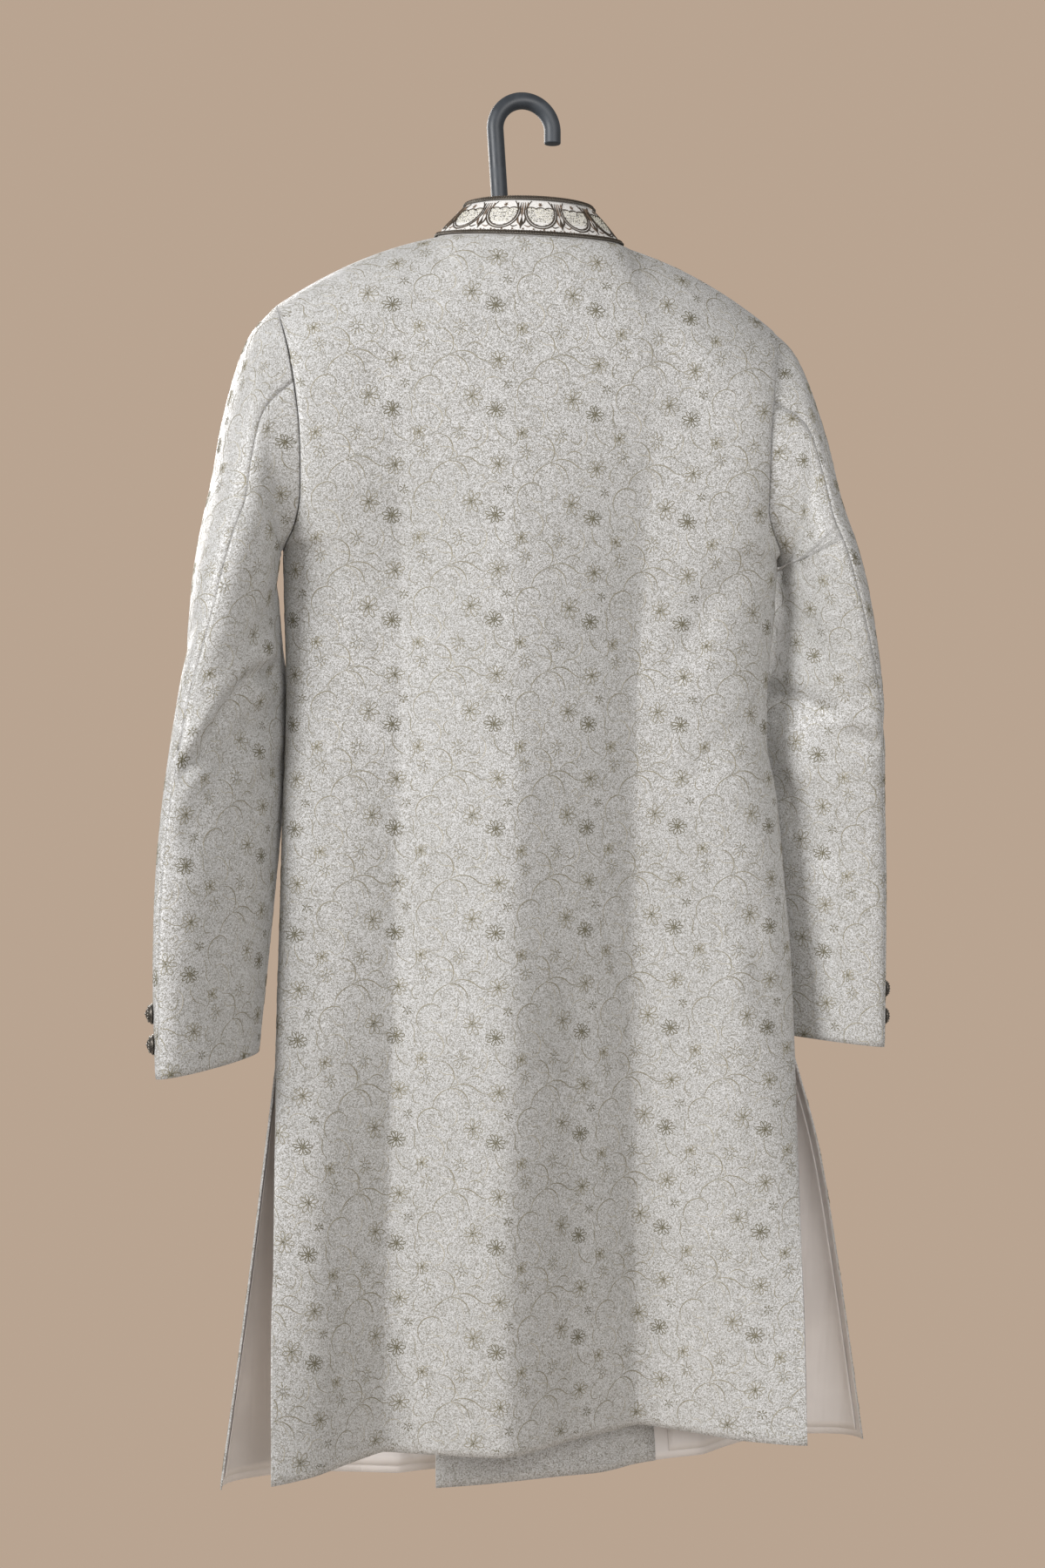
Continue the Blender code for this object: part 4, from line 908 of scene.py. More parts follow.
def looped_flower(strokes, x, y, radius, petals, turn, thread):
    """Petals drawn as open loops of thread round a dark heart."""
    around = np.linspace(0, 2 * np.pi, 8)
    for k in range(petals):
        uneven = 1 + 0.13 * np.sin(5.1 * k + 1.7 * turn)
        angle = turn + 2 * np.pi * k / petals + 0.07 * np.sin(3.7 * k)
        out = radius * uneven * (0.61 - 0.41 * np.cos(around))
        wide = radius * np.pi / petals * 0.50 * np.sin(around) * (0.75 + 0.35 * out / radius)
        points = np.stack([
            x + out * np.cos(angle) - wide * np.sin(angle),
            y + out * np.sin(angle) + wide * np.cos(angle),
        ], axis=1)
        strokes.ribbon(points, PETAL_WIDTH * (0.75 + 0.35 * out / radius), thread)
    for k in range(petals):
        angle = turn + 2 * np.pi * (k + 0.5) / petals
        far = radius * (0.34 + 0.10 * np.sin(2.3 * k + turn))
        strokes.ribbon([(x, y), oval(x, y, far, far, angle)], [0.44, 0.14], DARK_THREAD, 0.34)


def full_flower(strokes, x, y, radius, petals, turn, thread):
    """Short solid petals in a ring round a pale heart."""
    for k in range(petals):
        angle = turn + 2 * np.pi * k / petals
        along = np.linspace(0.38, 1.0 + 0.12 * np.sin(4.3 * k), 4)
        bend = 0.16 * np.sin(along * 4 + k)
        far = radius * along
        strokes.ribbon(oval(x, y, far, far, angle + bend), [0.22, 0.56, 0.48, 0.2], thread)
    ring = np.linspace(0, 2 * np.pi, 9)
    strokes.ribbon(oval(x, y, 0.30 * radius, 0.30 * radius, ring), 0.26, DARK_THREAD)


Flower = namedtuple("Flower", "draw x y radius petals turn thread")
Vine = namedtuple("Vine", "points start middle end thread")


def woven_repeat():
    """One repeat of the brocade's figure, in millimetres from the root of its largest spray."""
    strokes = Strokes()
    flowers = [
        Flower(looped_flower, 43.5, -3.0, 8.6, 8, 0.20, OLIVE_THREAD),
        Flower(full_flower, 51.5, -24.0, 4.6, 6, 0.50, DARK_THREAD),
        Flower(looped_flower, 20.0, -35.0, 9.0, 7, 0.75, OLIVE_THREAD),
        Flower(looped_flower, 41.0, -46.5, 8.0, 9, 0.10, DARK_THREAD),
        Flower(full_flower, 9.5, -67.0, 7.4, 9, 0.30, OLIVE_THREAD),
        Flower(full_flower, -22.0, 9.0, 6.8, 8, 0.10, OLIVE_THREAD),
        Flower(looped_flower, 64.0, -66.0, 5.4, 6, 0.40, OLIVE_THREAD),
    ]
    vines = [
        Vine([(0, 0), (9, 3.6), (19, 2.4), (28, -3.5), (35, -4.5)], 0.15, 0.46, 0.16, OLIVE_THREAD),
        Vine([(0, 0), (8, -1.2), (14.5, -6.5), (17.5, -16.5)], 0.15, 0.50, 0.14, OLIVE_THREAD),
        Vine([(0, 0), (6, -3.2), (10.5, -9), (12.5, -17)], 0.14, 0.26, 0.14, PALE_THREAD),
        Vine([(0, 0), (3.4, 7), (2.6, 15.5), (-3.5, 22), (-12.5, 23.5)], 0.15, 0.48, 0.14, OLIVE_THREAD),
        Vine([(0, 0), (-7, -3.4), (-13.5, -9.5), (-16.5, -18.5)], 0.15, 0.44, 0.14, OLIVE_THREAD),
        Vine([(14, 6.5), (19.5, 10.8), (26.5, 10.4), (30.5, 5.6)], 0.14, 0.36, 0.14, OLIVE_THREAD),
        Vine([(40.5, -55.5), (41.5, -63), (46, -69.5), (54.5, -73.5)], 0.16, 0.40, 0.16, OLIVE_THREAD),
        Vine([(-24, -44.5), (-29, -37), (-29.5, -28), (-24, -20.5), (-15, -18), (-8.5, -22), (-8.5, -29)],
             0.14, 0.42, 0.14, OLIVE_THREAD),
        Vine([(-24, -44.5), (-16, -42), (-9.5, -45.5), (-5.5, -53), (-8, -61.5), (-14.5, -65)],
             0.14, 0.42, 0.14, PALE_THREAD),
        Vine([(-18, -30), (-14, -34.5), (-8, -34), (-6, -38.5)], 0.14, 0.30, 0.14, PALE_THREAD),
        Vine([(2, -56.5), (-2.5, -52), (-2.5, -46.5), (1.5, -43.5)], 0.14, 0.34, 0.14, OLIVE_THREAD),
        Vine([(17.5, -69.5), (23.5, -73.5), (27.5, -71), (28.5, -65.5)], 0.14, 0.36, 0.14, OLIVE_THREAD),
        Vine([(29, -25), (33.5, -19.5), (40, -18), (45.5, -20.5)], 0.14, 0.32, 0.14, PALE_THREAD),
        Vine([(28.5, -57), (33, -62), (33.5, -69), (30, -76), (22.5, -79.5)], 0.14, 0.36, 0.14, PALE_THREAD),
        Vine([(-33, -60), (-29.5, -66.5), (-30.5, -74), (-36, -79)], 0.14, 0.38, 0.14, OLIVE_THREAD),
        Vine([(-12, -74), (-6, -79), (1.5, -79.5), (7, -85), (5.5, -90)], 0.14, 0.34, 0.14, PALE_THREAD),
        Vine([(-14.5, -65), (-19.5, -61), (-24, -63), (-23, -68.5), (-17.5, -70)],
             0.14, 0.32, 0.14, PALE_THREAD),
        Vine([(2.6, -17), (6.5, -23.5), (4.5, -31), (-1, -34)], 0.14, 0.34, 0.14, PALE_THREAD),
        Vine([(55, -35), (58, -42), (57.5, -50), (61.5, -57)], 0.14, 0.36, 0.14, OLIVE_THREAD),
        Vine([(24, -16), (29, -12), (31, -15.5), (27.5, -18.5)], 0.14, 0.30, 0.14, PALE_THREAD),
        Vine([(-30, 0), (-34, -6.5), (-32.5, -13), (-27, -14)], 0.14, 0.34, 0.14, OLIVE_THREAD),
    ]
    for flower in flowers:
        flower.draw(strokes, *flower[1:])
    for vine in vines:
        count = 3 * len(vine.points)
        widths = VINE_WIDTH * taper(count, vine.start, vine.middle, vine.end)
        strokes.ribbon(curve(vine.points, count), widths, vine.thread, 0.25)
    return strokes


def repeat_offsets(patch, shift_u, shift_v):
    """Where the repeats start so that they cover a patch, in metres."""
    reach_u, reach_v = 0.07, 0.10
    u = np.arange(patch.u.min() - reach_u - shift_u, patch.u.max() + reach_u, REPEAT_WIDTH)
    v = np.arange(patch.v.min() - reach_v - shift_v, patch.v.max() + reach_v, REPEAT_HEIGHT)
    return np.stack([k.ravel() for k in np.meshgrid(u, v)], axis=1)


# ---- collar --------------------------------------------------------------------------------------------
class CollarPatch(Patch):
    """The collar's outer face: u along its middle line and v up it, to a nominal height."""

    def __init__(self, columns, rows):
        end = np.radians(COLLAR_END_ANGLE)
        angle, up = np.meshgrid(np.linspace(-end, end, columns), np.linspace(0, 1, rows))
        grid = collar_point(angle, up)
        swell = COLLAR_SWELL * np.sin(np.pi * up)
        middle = [0, (NECK_BACK_Y + NECK_FRONT_Y) / 2, 0]
        super().__init__(grid, (grid - middle) * [1, 1, 0], np.array(UPWARDS), columns // 2, 0)
        self.point = self.point + self.normal * swell[..., None]
        self.u = np.repeat(self.u[rows // 2][None], rows, axis=0)
        self.v = up * COLLAR_HEIGHT_BACK


def medallion(strokes, x):
    """A bowl outlined by two cords, with a scalloped top edge and a small flower above it."""
    fall = np.linspace(np.pi * 0.93, np.pi * 2.07, 21)
    for grow in (0.0, CORD_SPACING):
        points = oval(x, BOWL_RIM, BOWL_HALF_WIDTH + grow, BOWL_DEPTH + grow, fall)
        strokes.ribbon(points, CORD_THREAD, 0, 0.9)
    for depth in np.linspace(-0.06, 0.9, 11):
        half = BOWL_HALF_WIDTH * np.sqrt(1 - max(depth, 0) ** 2)
        y = BOWL_RIM - BOWL_DEPTH * depth
        strokes.ribbon([(x - half, y), (x + half, y)], 0.95, 0, 0.16)
    for k in range(BOWL_SCALLOPS):
        half = BOWL_HALF_WIDTH / BOWL_SCALLOPS
        middle = x - BOWL_HALF_WIDTH + half * (2 * k + 1)
        rise = np.linspace(np.pi, 0, 7)
        strokes.ribbon(oval(middle, BOWL_RIM + 0.6, half, 2.1, rise), 0.62, 0, 0.8)
    for k in range(6):
        points = [oval(x, SMALL_FLOWER_UP, far, far, np.pi * k / 3) for far in (0.3, 1.0, 2.0)]
        strokes.ribbon(points, [0.3, 0.62, 0.25], 1, 0.8)
    for side in (-1, 1):
        ends = [(BOWL_HALF_WIDTH, BOWL_RIM), (11.8, 28.0), (8.6, 32.4)]
        points = curve([(x + side * a, b) for a, b in ends], 7)
        strokes.ribbon(points, taper(7, 0.6, 0.7, 0.5), 0, 0.7)


def tassel(strokes, x):
    """The upright spray of leaves between two medallions."""
    leaves = [(points, width, side) for sides, points, width in LEAVES for side in sides]
    for n, (points, width, side) in enumerate(leaves):
        line = curve([(x + side * a, b) for a, b in points], 8)
        strokes.ribbon(line, taper(8, 0.2, 1.35 * width, 0.2), n % 2, 0.8)


def bead_mesh(name, patch, centres, radii, material):
    """Small domes on a patch; centres are in millimetres."""
    turn = np.linspace(0, 2 * np.pi, BEAD_SIDES, endpoint=False)
    centres, radii = np.asarray(centres, float), np.asarray(radii, float)
    base, on = patch.place(centres / 1000, np.zeros(len(centres)))
    tip, _ = patch.place(centres / 1000, np.full(len(centres), 0.001))
    right, _ = patch.place((centres + [0.5, 0]) / 1000, np.zeros(len(centres)))
    normal = (tip - base) / 0.001
    across = right - base
    across = unit(across - (across * normal).sum(axis=1, keepdims=True) * normal, 1e-12)
    up = np.cross(normal, across)
    rings = []
    for radius, height in BEAD_LEVELS:
        ring = base[:, None] + (
            across[:, None] * np.cos(turn)[None, :, None] + up[:, None] * np.sin(turn)[None, :, None]
        ) * (radius * radii / 1000)[:, None, None] + normal[:, None] * (height * radii / 1000)[:, None, None]
        rings.append(ring)
    points = np.stack(rings, axis=1)[on]
    start = (np.arange(len(points)) * BEAD_SIDES * len(BEAD_LEVELS))[:, None, None]
    k = np.arange(BEAD_SIDES)
    after = (k + 1) % BEAD_SIDES
    side = np.stack([k, after, after + BEAD_SIDES, k + BEAD_SIDES], axis=1)
    top = 2 * BEAD_SIDES + np.array([[0, 1, 2, 3], [3, 4, 5, 0]])
    faces = (np.concatenate([side, side + BEAD_SIDES, top])[None] + start).reshape(-1, 4)
    return new_object(name, points.reshape(-1, 3), faces, [material])


def beads_in_bowl(rng, x):
    """Centres and radii of beads in staggered rows, a little uneven, that fill one bowl."""
    centres, radii = [], []
    for row in range(BEAD_ROWS):
        for column in range(BEAD_COLUMNS):
            px = (column - (BEAD_COLUMNS - 1) / 2 + 0.5 * (row % 2)) * BEAD_PITCH
            py = BOWL_RIM + 1.2 - row * BEAD_PITCH * 0.87
            depth = (BOWL_RIM - py) / (BOWL_DEPTH - 1.0)
            side = px / (BOWL_HALF_WIDTH - 1.0)
            if depth**2 * np.sign(depth) + side**2 < 0.98 and py < BOWL_RIM + 1.4:
                across = x + px + rng.uniform(-BEAD_JITTER, BEAD_JITTER)
                centres.append((across, py + rng.uniform(-BEAD_JITTER, BEAD_JITTER)))
                radii.append(rng.uniform(0.50, 0.68))
    return centres, radii


def rope(name, path, normal, material):
    """Two strands twisted round a path, as one tube with a turning two-lobed section."""
    other = np.cross(unit(np.gradient(path, axis=0)), normal)
    turn = np.linspace(0, 2 * np.pi, ROPE_SIDES, endpoint=False)
    angle = turn[None, :] + 2 * np.pi * length_along(path)[:, None] / ROPE_PITCH
    radius = ROPE_RADIUS * (ROPE_WAIST + (1 - ROPE_WAIST) * np.abs(np.cos(turn)))[None, :]
    rings = (
        path[:, None]
        + normal[:, None] * (radius * np.cos(angle))[..., None]
        + other[:, None] * (radius * np.sin(angle))[..., None]
    )
    return tube_mesh(name, rings, material)


def merge(target, other):
    """Joins another object into target, with its own materials."""
    bm = bmesh.new()
    bm.from_mesh(target.data)
    shift = len(target.data.materials)
    first = len(bm.faces)
    bm.from_mesh(other.data)
    bm.faces.ensure_lookup_table()
    for face in bm.faces[first:]:
        face.material_index += shift
    bm.to_mesh(target.data)
    bm.free()
    for material in other.data.materials:
        target.data.materials.append(material)
    bpy.data.objects.remove(other, do_unlink=True)


# ---- buttons -------------------------------------------------------------------------------------------
def button_mesh(name, place, direction, materials):
    """A domed button with a roped rim, a ring of beads and a flower in its middle."""
    direction = unit(np.asarray(direction, float))
    side = unit(np.cross(direction, UPWARDS))
    up = np.cross(side, direction)
    frame3 = np.stack([side, up, direction])
    turn = np.linspace(0, 2 * np.pi, 48, endpoint=False)
    rings = []
    for radius, height in BUTTON_PROFILE:
        rope_rim = 0.02 * np.sin(24 * turn) * (radius > 0.9)
        petals = 0.055 * np.cos(8 * turn) * np.exp(-(((radius - 0.36) / 0.14) ** 2))
        r = BUTTON_RADIUS * (radius + rope_rim)
        h = BUTTON_HEIGHT * (height + petals)
        rings.append(np.stack([r * np.cos(turn), r * np.sin(turn), h * np.ones_like(turn)], axis=-1))
    dome = tube_mesh(name, np.array(rings) @ frame3 + place, materials[0])
    beads = []
    for count, radius, height, size in BUTTON_BEADS:
        for k in range(count):
            ring = BUTTON_RADIUS * radius
            centre = [*oval(0.0, 0.0, ring, ring, 2 * np.pi * k / count), BUTTON_HEIGHT * height]
            beads.append((centre, size * BUTTON_RADIUS))
    bm = bmesh.new()
    for centre, size in beads:
        made = bmesh.ops.create_icosphere(bm, subdivisions=2, radius=size)
        bmesh.ops.translate(bm, verts=made["verts"], vec=centre)
    mesh = bpy.data.meshes.new(name + "_beads")
    bm.to_mesh(mesh)
    bm.free()
    co = np.zeros(len(mesh.vertices) * 3)
    mesh.vertices.foreach_get("co", co)
    mesh.vertices.foreach_set("co", (co.reshape(-1, 3) @ frame3 + place).ravel())
    mesh.materials.append(materials[1])
    for polygon in mesh.polygons:
        polygon.use_smooth = True
    merge(dome, add_object(name + "_beads", mesh))
    return dome


# ---- linings, collar and buttons -----------------------------------------------------------------------
def make_linings(patches, brocade, satin):
    """What hangs inside the two front skirts; the linings stop just short of the hem and side edges."""
    lined, faced = slice(1, SKIRT_FINE_ROWS + 1), slice(0, SKIRT_FINE_ROWS + 1)
    windows = [
        ("lining_front_left", "front_left", "satin_lining", lined, slice(FRONT_COLUMNS // 8, -4), satin),
        ("lining_front_right", "front_right", "satin_lining", lined, slice(4, -FACING_COLUMNS), satin),
        ("facing_front_right", "front_right", "brocade", faced, slice(1 - FACING_COLUMNS, None), brocade),
    ]
    for node, panel, slot, skirt, columns, material in windows:
        patch, window = patches[panel], (skirt, columns)
        piece = shell(node + "_cloth", patch, LINING, CLOTH + LAYER_GAP, material, material, window)
        show(piece, node)
        cut = patch.cut(window)


def make_collar(brocade, cloth, bronze, brown, grey, cream):
    patch = CollarPatch(COLLAR_COLUMNS, COLLAR_ROWS)
    cloth_piece("collar_cloth", "collar", patch, COLLAR_WALL, (cloth, brocade))
    rng = np.random.default_rng(7)
    strokes = Strokes()
    centres, radii = [], []
    for k in range(MEDALLIONS):
        x = (k - (MEDALLIONS - 1) / 2) * MEDALLION_PITCH
        medallion(strokes, x)
        tassel(strokes, x + MEDALLION_PITCH / 2)
        more_centres, more_radii = beads_in_bowl(rng, x)
        centres += more_centres
        radii += more_radii
    tassel(strokes, -MEDALLIONS / 2 * MEDALLION_PITCH)
    sewn = lay("collar_embroidery", patch, strokes, [bronze, brown], np.zeros((1, 2)))
    show(sewn, None)
    show(bead_mesh("collar_beads", patch, centres, radii, cream), None)

    dark_centres, dark_radii = [], []
    half_row = MEDALLIONS / 2 * MEDALLION_PITCH
    for n, x in enumerate(np.arange(-half_row, half_row, BASE_BEAD_PITCH)):
        dark_centres.append((x, BASE_BEAD_UP + BASE_BEAD_SWAY * np.sin(2.2 * n)))
        dark_radii.append(0.62 + 0.34 * (n % 3 == 0))
    show(bead_mesh("collar_base_beads", patch, dark_centres, dark_radii, brown), None)

    for node, up in (("collar_cord_base", BASE_ROPE_UP), ("collar_cord_top", TOP_ROPE_UP)):
        path, normal = collar_line(up)
        climb = np.cross(np.gradient(path, axis=0), normal)
        climb *= np.sign(climb[:, 2:]) / np.linalg.norm(climb, axis=1, keepdims=True)
        over = path + normal * (ROPE_RADIUS + LAYER_GAP)
        apart = climb * ROPE_RADIUS * ROPE_SPREAD
        show(rope(node + "_dark", over + apart, normal, bronze), node)
        show(rope(node + "_light", over - apart, normal, grey), None)


def collar_line(up):
    """Points and outward normals along the collar's face, at a share of its height."""
    end = np.radians(COLLAR_END_ANGLE - ROPE_END)
    coarse = np.linspace(-end, end, LINE_SAMPLES)
    step = 1e-3

    def at(angle, lift=0.0):
        return collar_point(angle, np.full_like(angle, up + lift))

    points = at(coarse)
    length = length_along(points)
    angle = np.interp(np.arange(0, length[-1], ROPE_STEP), length, coarse)
    here = at(angle)
    normal = unit(np.cross(at(angle + step) - here, at(angle, step) - here))
    normal *= np.sign((normal * [1, 1, 0] * here).sum(axis=-1))[:, None]
    return here + [COAT_X, 0, 0], normal


def make_buttons(patches, angles, materials):
    for word in ("left", "right"):
        patch = patches[f"sleeve_{word}_top"]
        for n, z in enumerate(CUFF_BUTTON_Z, 1):
            row = int(np.argmin(np.abs(patch.point[:, 0, 2] - z)))
            place_column = int(np.argmin(np.abs(angles[word][row] - CUFF_BUTTON_ANGLE)))
            place, normal = patch.point[row, place_column].copy(), patch.normal[row, place_column] * [1, 1, 0]
            place[2] = z
            name = f"cuff_button_{word}_{n}"
            show(button_mesh(name + "_metal", place, normal, materials), name)
    for n, z in enumerate(np.linspace(FRONT_BUTTON_TOP_Z, FRONT_BUTTON_BOTTOM_Z, FRONT_BUTTONS), 1):
        place = body_point("front_left", np.array([0.0]), np.array([z]))[0] + [COAT_X, 0, 0]
        name = f"front_button_{n}"
        show(button_mesh(name + "_metal", place, (0.0, -1.0, 0.0), materials), name)


# ---- materials -----------------------------------------------------------------------------------------
class Shader:
    """A material's nodes, added one after another."""

    def __init__(self, name):
        self.material = bpy.data.materials.new(name)
        self.material.use_nodes = True
        self.tree = self.material.node_tree
        self.surface = self.tree.nodes["Principled BSDF"]

    def add(self, kind, settings=None, **inputs):
        """A node; inputs are numbers, colours or sockets, named as on the node with _ for spaces."""
        node = self.tree.nodes.new("ShaderNode" + kind)
        for name, value in (settings or {}).items():
            setattr(node, name, value)
        for name, value in inputs.items():
            self.put(node, name.replace("_", " "), value)
        return node

    def put(self, node, name, value):
        sockets = [s for s in node.inputs if s.name == name and s.enabled]
        self.feed(sockets[0] if sockets else node.inputs[name], value)

    def feed(self, socket, value):
        """Links another node's output to a socket, or sets a number or a colour on it."""
        if isinstance(value, bpy.types.NodeSocket):
            self.tree.links.new(value, socket)
        elif isinstance(value, tuple) and len(value) == 3 and socket.type == "RGBA":
            socket.default_value = (*value, 1.0)
        else:
            socket.default_value = value

    def math(self, operation, a, b=0.5, clamp=False):
        node = self.tree.nodes.new("ShaderNodeMath")
        node.operation, node.use_clamp = operation, clamp
        for socket, value in zip(node.inputs, (a, b)):
            self.feed(socket, value)
        return node.outputs[0]

    def span(self, value, low, high, to_low=0.0, to_high=1.0):
        """value from low to high, mapped smoothly onto to_low to to_high and clamped."""
        node = self.add("MapRange", {"interpolation_type": "SMOOTHSTEP"})
        self.tree.links.new(value, node.inputs["Value"])
        for name, number in (("From Min", low), ("From Max", high), ("To Min", to_low), ("To Max", to_high)):
            node.inputs[name].default_value = number
        return node.outputs[0]

    def noise(self, scale, detail=2.0, roughness=0.5, distortion=0.0, vector=None):
        node = self.add("TexNoise", Scale=scale, Detail=detail, Roughness=roughness, Distortion=distortion)
        if vector is not None:
            self.tree.links.new(vector, node.inputs["Vector"])
        return node.outputs["Fac"]

    def mix(self, share, a, b):
        node = self.add("Mix", {"data_type": "RGBA"})
        for socket, value in ((node.inputs["Factor"], share), (node.inputs[6], a), (node.inputs[7], b)):
            self.feed(socket, value)
        return node.outputs[2]

    def bump(self, height, strength, distance, normal=None):
        node = self.add("Bump", Height=height, Strength=strength, Distance=distance)
        if normal is not None:
            self.tree.links.new(normal, node.inputs["Normal"])
        return node.outputs["Normal"]

    def finish(self, **inputs):
        for name, value in inputs.items():
            self.put(self.surface, name.replace("_", " "), value)
        return self.material


def stretched(shader, source, x, y, z):
    node = shader.add("Mapping", {"vector_type": "POINT"})
    shader.tree.links.new(source, node.inputs["Vector"])
    node.inputs["Scale"].default_value = (x, y, z)
    return node.outputs[0]


def contour_lines(shader, fac, level, width):
    """1 on a contour of a noise field, as a wandering line, and 0 away from it."""
    away = shader.math("ABSOLUTE", shader.math("SUBTRACT", fac, level))
    return shader.span(away, width * 0.35, width, 1.0, 0.0)


def brocade_material():
    """Silvery satin ground, covered by fine broken curls of olive thread and wider swirls."""
    s = Shader("brocade")
    cloth = s.add("UVMap", {"uv_map": "Cloth"}).outputs[0]
    curls = s.noise(400.0, 0.0, 0.5, 1.6, cloth)
    wide = s.noise(190.0, 0.0, 0.5, 2.2, stretched(s, cloth, 1.0, 1.1, 1.0))
    stitches = s.span(s.noise(640.0, 0.0, 0.5, 0.0, cloth), 0.40, 0.50, 0.12, 1.0)
    olive = s.math("MULTIPLY", contour_lines(s, curls, 0.50, 0.105), stitches)
    swirls = contour_lines(s, wide, 0.49, 0.055)
    grains = s.noise(1300.0, 1.0, 0.6, 0.0, cloth)
    floats = s.noise(1.0, 2.0, 0.5, 0.0, stretched(s, cloth, 2600.0, 520.0, 1.0))
    tone = s.noise(9.0, 3.0, 0.55, 0.0, cloth)
    ground = s.mix(s.span(tone, 0.3, 0.7), (0.595, 0.600, 0.605), (0.655, 0.660, 0.667))
    ground = s.mix(s.span(grains, 0.30, 0.60), (0.455, 0.447, 0.425), ground)
    with_olive = s.mix(s.math("MULTIPLY", olive, 0.72), ground, (0.155, 0.140, 0.098))
    color = s.mix(s.math("MULTIPLY", swirls, 0.60), with_olive, (0.235, 0.218, 0.175))
    relief = s.math("ADD", s.math("MULTIPLY", olive, 0.8), s.math("MULTIPLY", swirls, 0.6))
    relief = s.math("ADD", relief, s.math("MULTIPLY", grains, 0.5))
    bumped = s.bump(floats, 0.25, 0.0001, s.bump(relief, 0.75, 0.00028))
    rough = s.span(relief, 0.2, 1.2, 0.38, 0.54)
    return s.finish(
        Base_Color=color, Roughness=rough, Metallic=0.0, Normal=bumped,
        Sheen_Weight=0.25, Sheen_Roughness=0.45, Specular_IOR_Level=0.62,
    )


def satin_material():
    s = Shader("satin_lining")
    cloth = s.add("UVMap", {"uv_map": "Cloth"}).outputs[0]
    tone = s.noise(14.0, 3.0, 0.5, 0.3, cloth)
    color = s.mix(s.span(tone, 0.3, 0.7), (0.74, 0.705, 0.685), (0.82, 0.785, 0.765))
    floats = s.noise(1.0, 2.0, 0.5, 0.0, stretched(s, cloth, 3000.0, 300.0, 1.0))
    slack = s.noise(1.0, 2.0, 0.5, 0.6, stretched(s, cloth, 60.0, 7.0, 1.0))
    bumped = s.bump(floats, 0.12, 0.0001, s.bump(slack, 0.35, 0.004))
    return s.finish(Base_Color=color, Roughness=0.36, Normal=bumped, Sheen_Weight=0.2)


def thread_material(name, dark, light, metallic, roughness):
    s = Shader(name)
    place = s.add("TexCoord").outputs["Object"]
    twist = s.noise(1900.0, 1.0, 0.6, 0.0, place)
    shade = s.noise(70.0, 2.0, 0.5, 0.0, place)
    color = s.mix(s.span(twist, 0.3, 0.7), dark, light)
    color = s.mix(s.span(shade, 0.35, 0.7, 0.0, 0.35), color, dark)
    return s.finish(
        Base_Color=color, Roughness=roughness, Metallic=metallic, Normal=s.bump(twist, 0.5, 0.00015)
    )


def bead_material(name, dark, light):
    """Glossy beads, each a shade of its own."""
    s = Shader(name)
    place = s.add("TexCoord").outputs["Object"]
    shade = s.noise(640.0, 0.0, 0.5, 0.0, place)
    color = s.mix(s.span(shade, 0.36, 0.54), dark, light)
    return s.finish(Base_Color=color, Roughness=0.3, Metallic=0.1)


def collar_cloth_material():
    """White worked ground of the collar."""
    s = Shader("collar_cloth")
    cloth = s.add("UVMap", {"uv_map": "Cloth"}).outputs[0]
    stitches = s.noise(1.0, 2.0, 0.6, 0.8, stretched(s, cloth, 900.0, 1500.0, 1.0))
    color = s.mix(s.span(stitches, 0.3, 0.7), (0.60, 0.58, 0.55), (0.84, 0.83, 0.81))
    return s.finish(Base_Color=color, Roughness=0.6, Normal=s.bump(stitches, 0.7, 0.0003), Sheen_Weight=0.2)


def metal_material(name, dark, light):
    s = Shader(name)
    place = s.add("TexCoord").outputs["Object"]
    worn = s.noise(900.0, 3.0, 0.6, 0.0, place)
    color = s.mix(s.span(worn, 0.35, 0.65), dark, light)
    return s.finish(
        Base_Color=color, Metallic=0.85, Roughness=s.span(worn, 0.3, 0.7, 0.48, 0.26),
        Normal=s.bump(worn, 0.4, 0.0002),
    )


def plastic_material():
    s = Shader("dark_plastic")
    place = s.add("TexCoord").outputs["Object"]
    grain = s.noise(1200.0, 2.0, 0.6, 0.0, place)
    rubbed = s.noise(35.0, 3.0, 0.6, 0.4, place)
    color = s.mix(s.span(rubbed, 0.3, 0.75), (0.030, 0.035, 0.042), (0.052, 0.060, 0.070))
    return s.finish(
        Base_Color=color, Roughness=s.span(rubbed, 0.3, 0.75, 0.40, 0.54), Normal=s.bump(grain, 0.15, 0.0002)
    )


# ---- hanger --------------------------------------------------------------------------------------------
def hook_path():
    turn = np.linspace(-0.5 * np.pi, 0.5 * np.pi, 41)
    crown_z = -(HOOK_BEND - HOOK_RADIUS)
    arch = np.stack([HOOK_BEND * np.sin(turn), 0 * turn, crown_z + HOOK_BEND * np.cos(turn)], axis=-1)
    down = HOOK_SHORT_LEG * np.array([1.0, 0.99, 0.965, 0.92, 0.86, 0.7, 0.45, 0.2])
    short = np.stack([np.full(8, -HOOK_BEND), np.zeros(8), crown_z - down], axis=-1)
    at = np.linspace(0, 1, 16)[1:]
    leg_x, leg_z = HOOK_BEND + (HOOK_LEG_X - HOOK_BEND) * at, crown_z + (HOOK_LEG_Z - crown_z) * at
    leg = np.stack([leg_x, 0 * at, leg_z], axis=-1)
    foot_z = HANGER_TOP_Z + HOOK_CLEAR
    foot_x = HOOK_LEG_X + (COAT_X - HOOK_LEG_X) * smooth_step(at, 0, 0.9)
    foot = np.stack([foot_x, 0 * at, HOOK_LEG_Z + (foot_z - HOOK_LEG_Z) * at], axis=-1)
    return np.concatenate([short, arch, leg, foot])


def make_hook(material):
    path = hook_path()
    radius = np.full(len(path), HOOK_RADIUS)
    radius[:4] *= (0.55, 0.80, 0.94, 0.99)
    return tube_mesh("hook", swept(path, radius, radius, 32, np.array(BACKWARDS)), material)


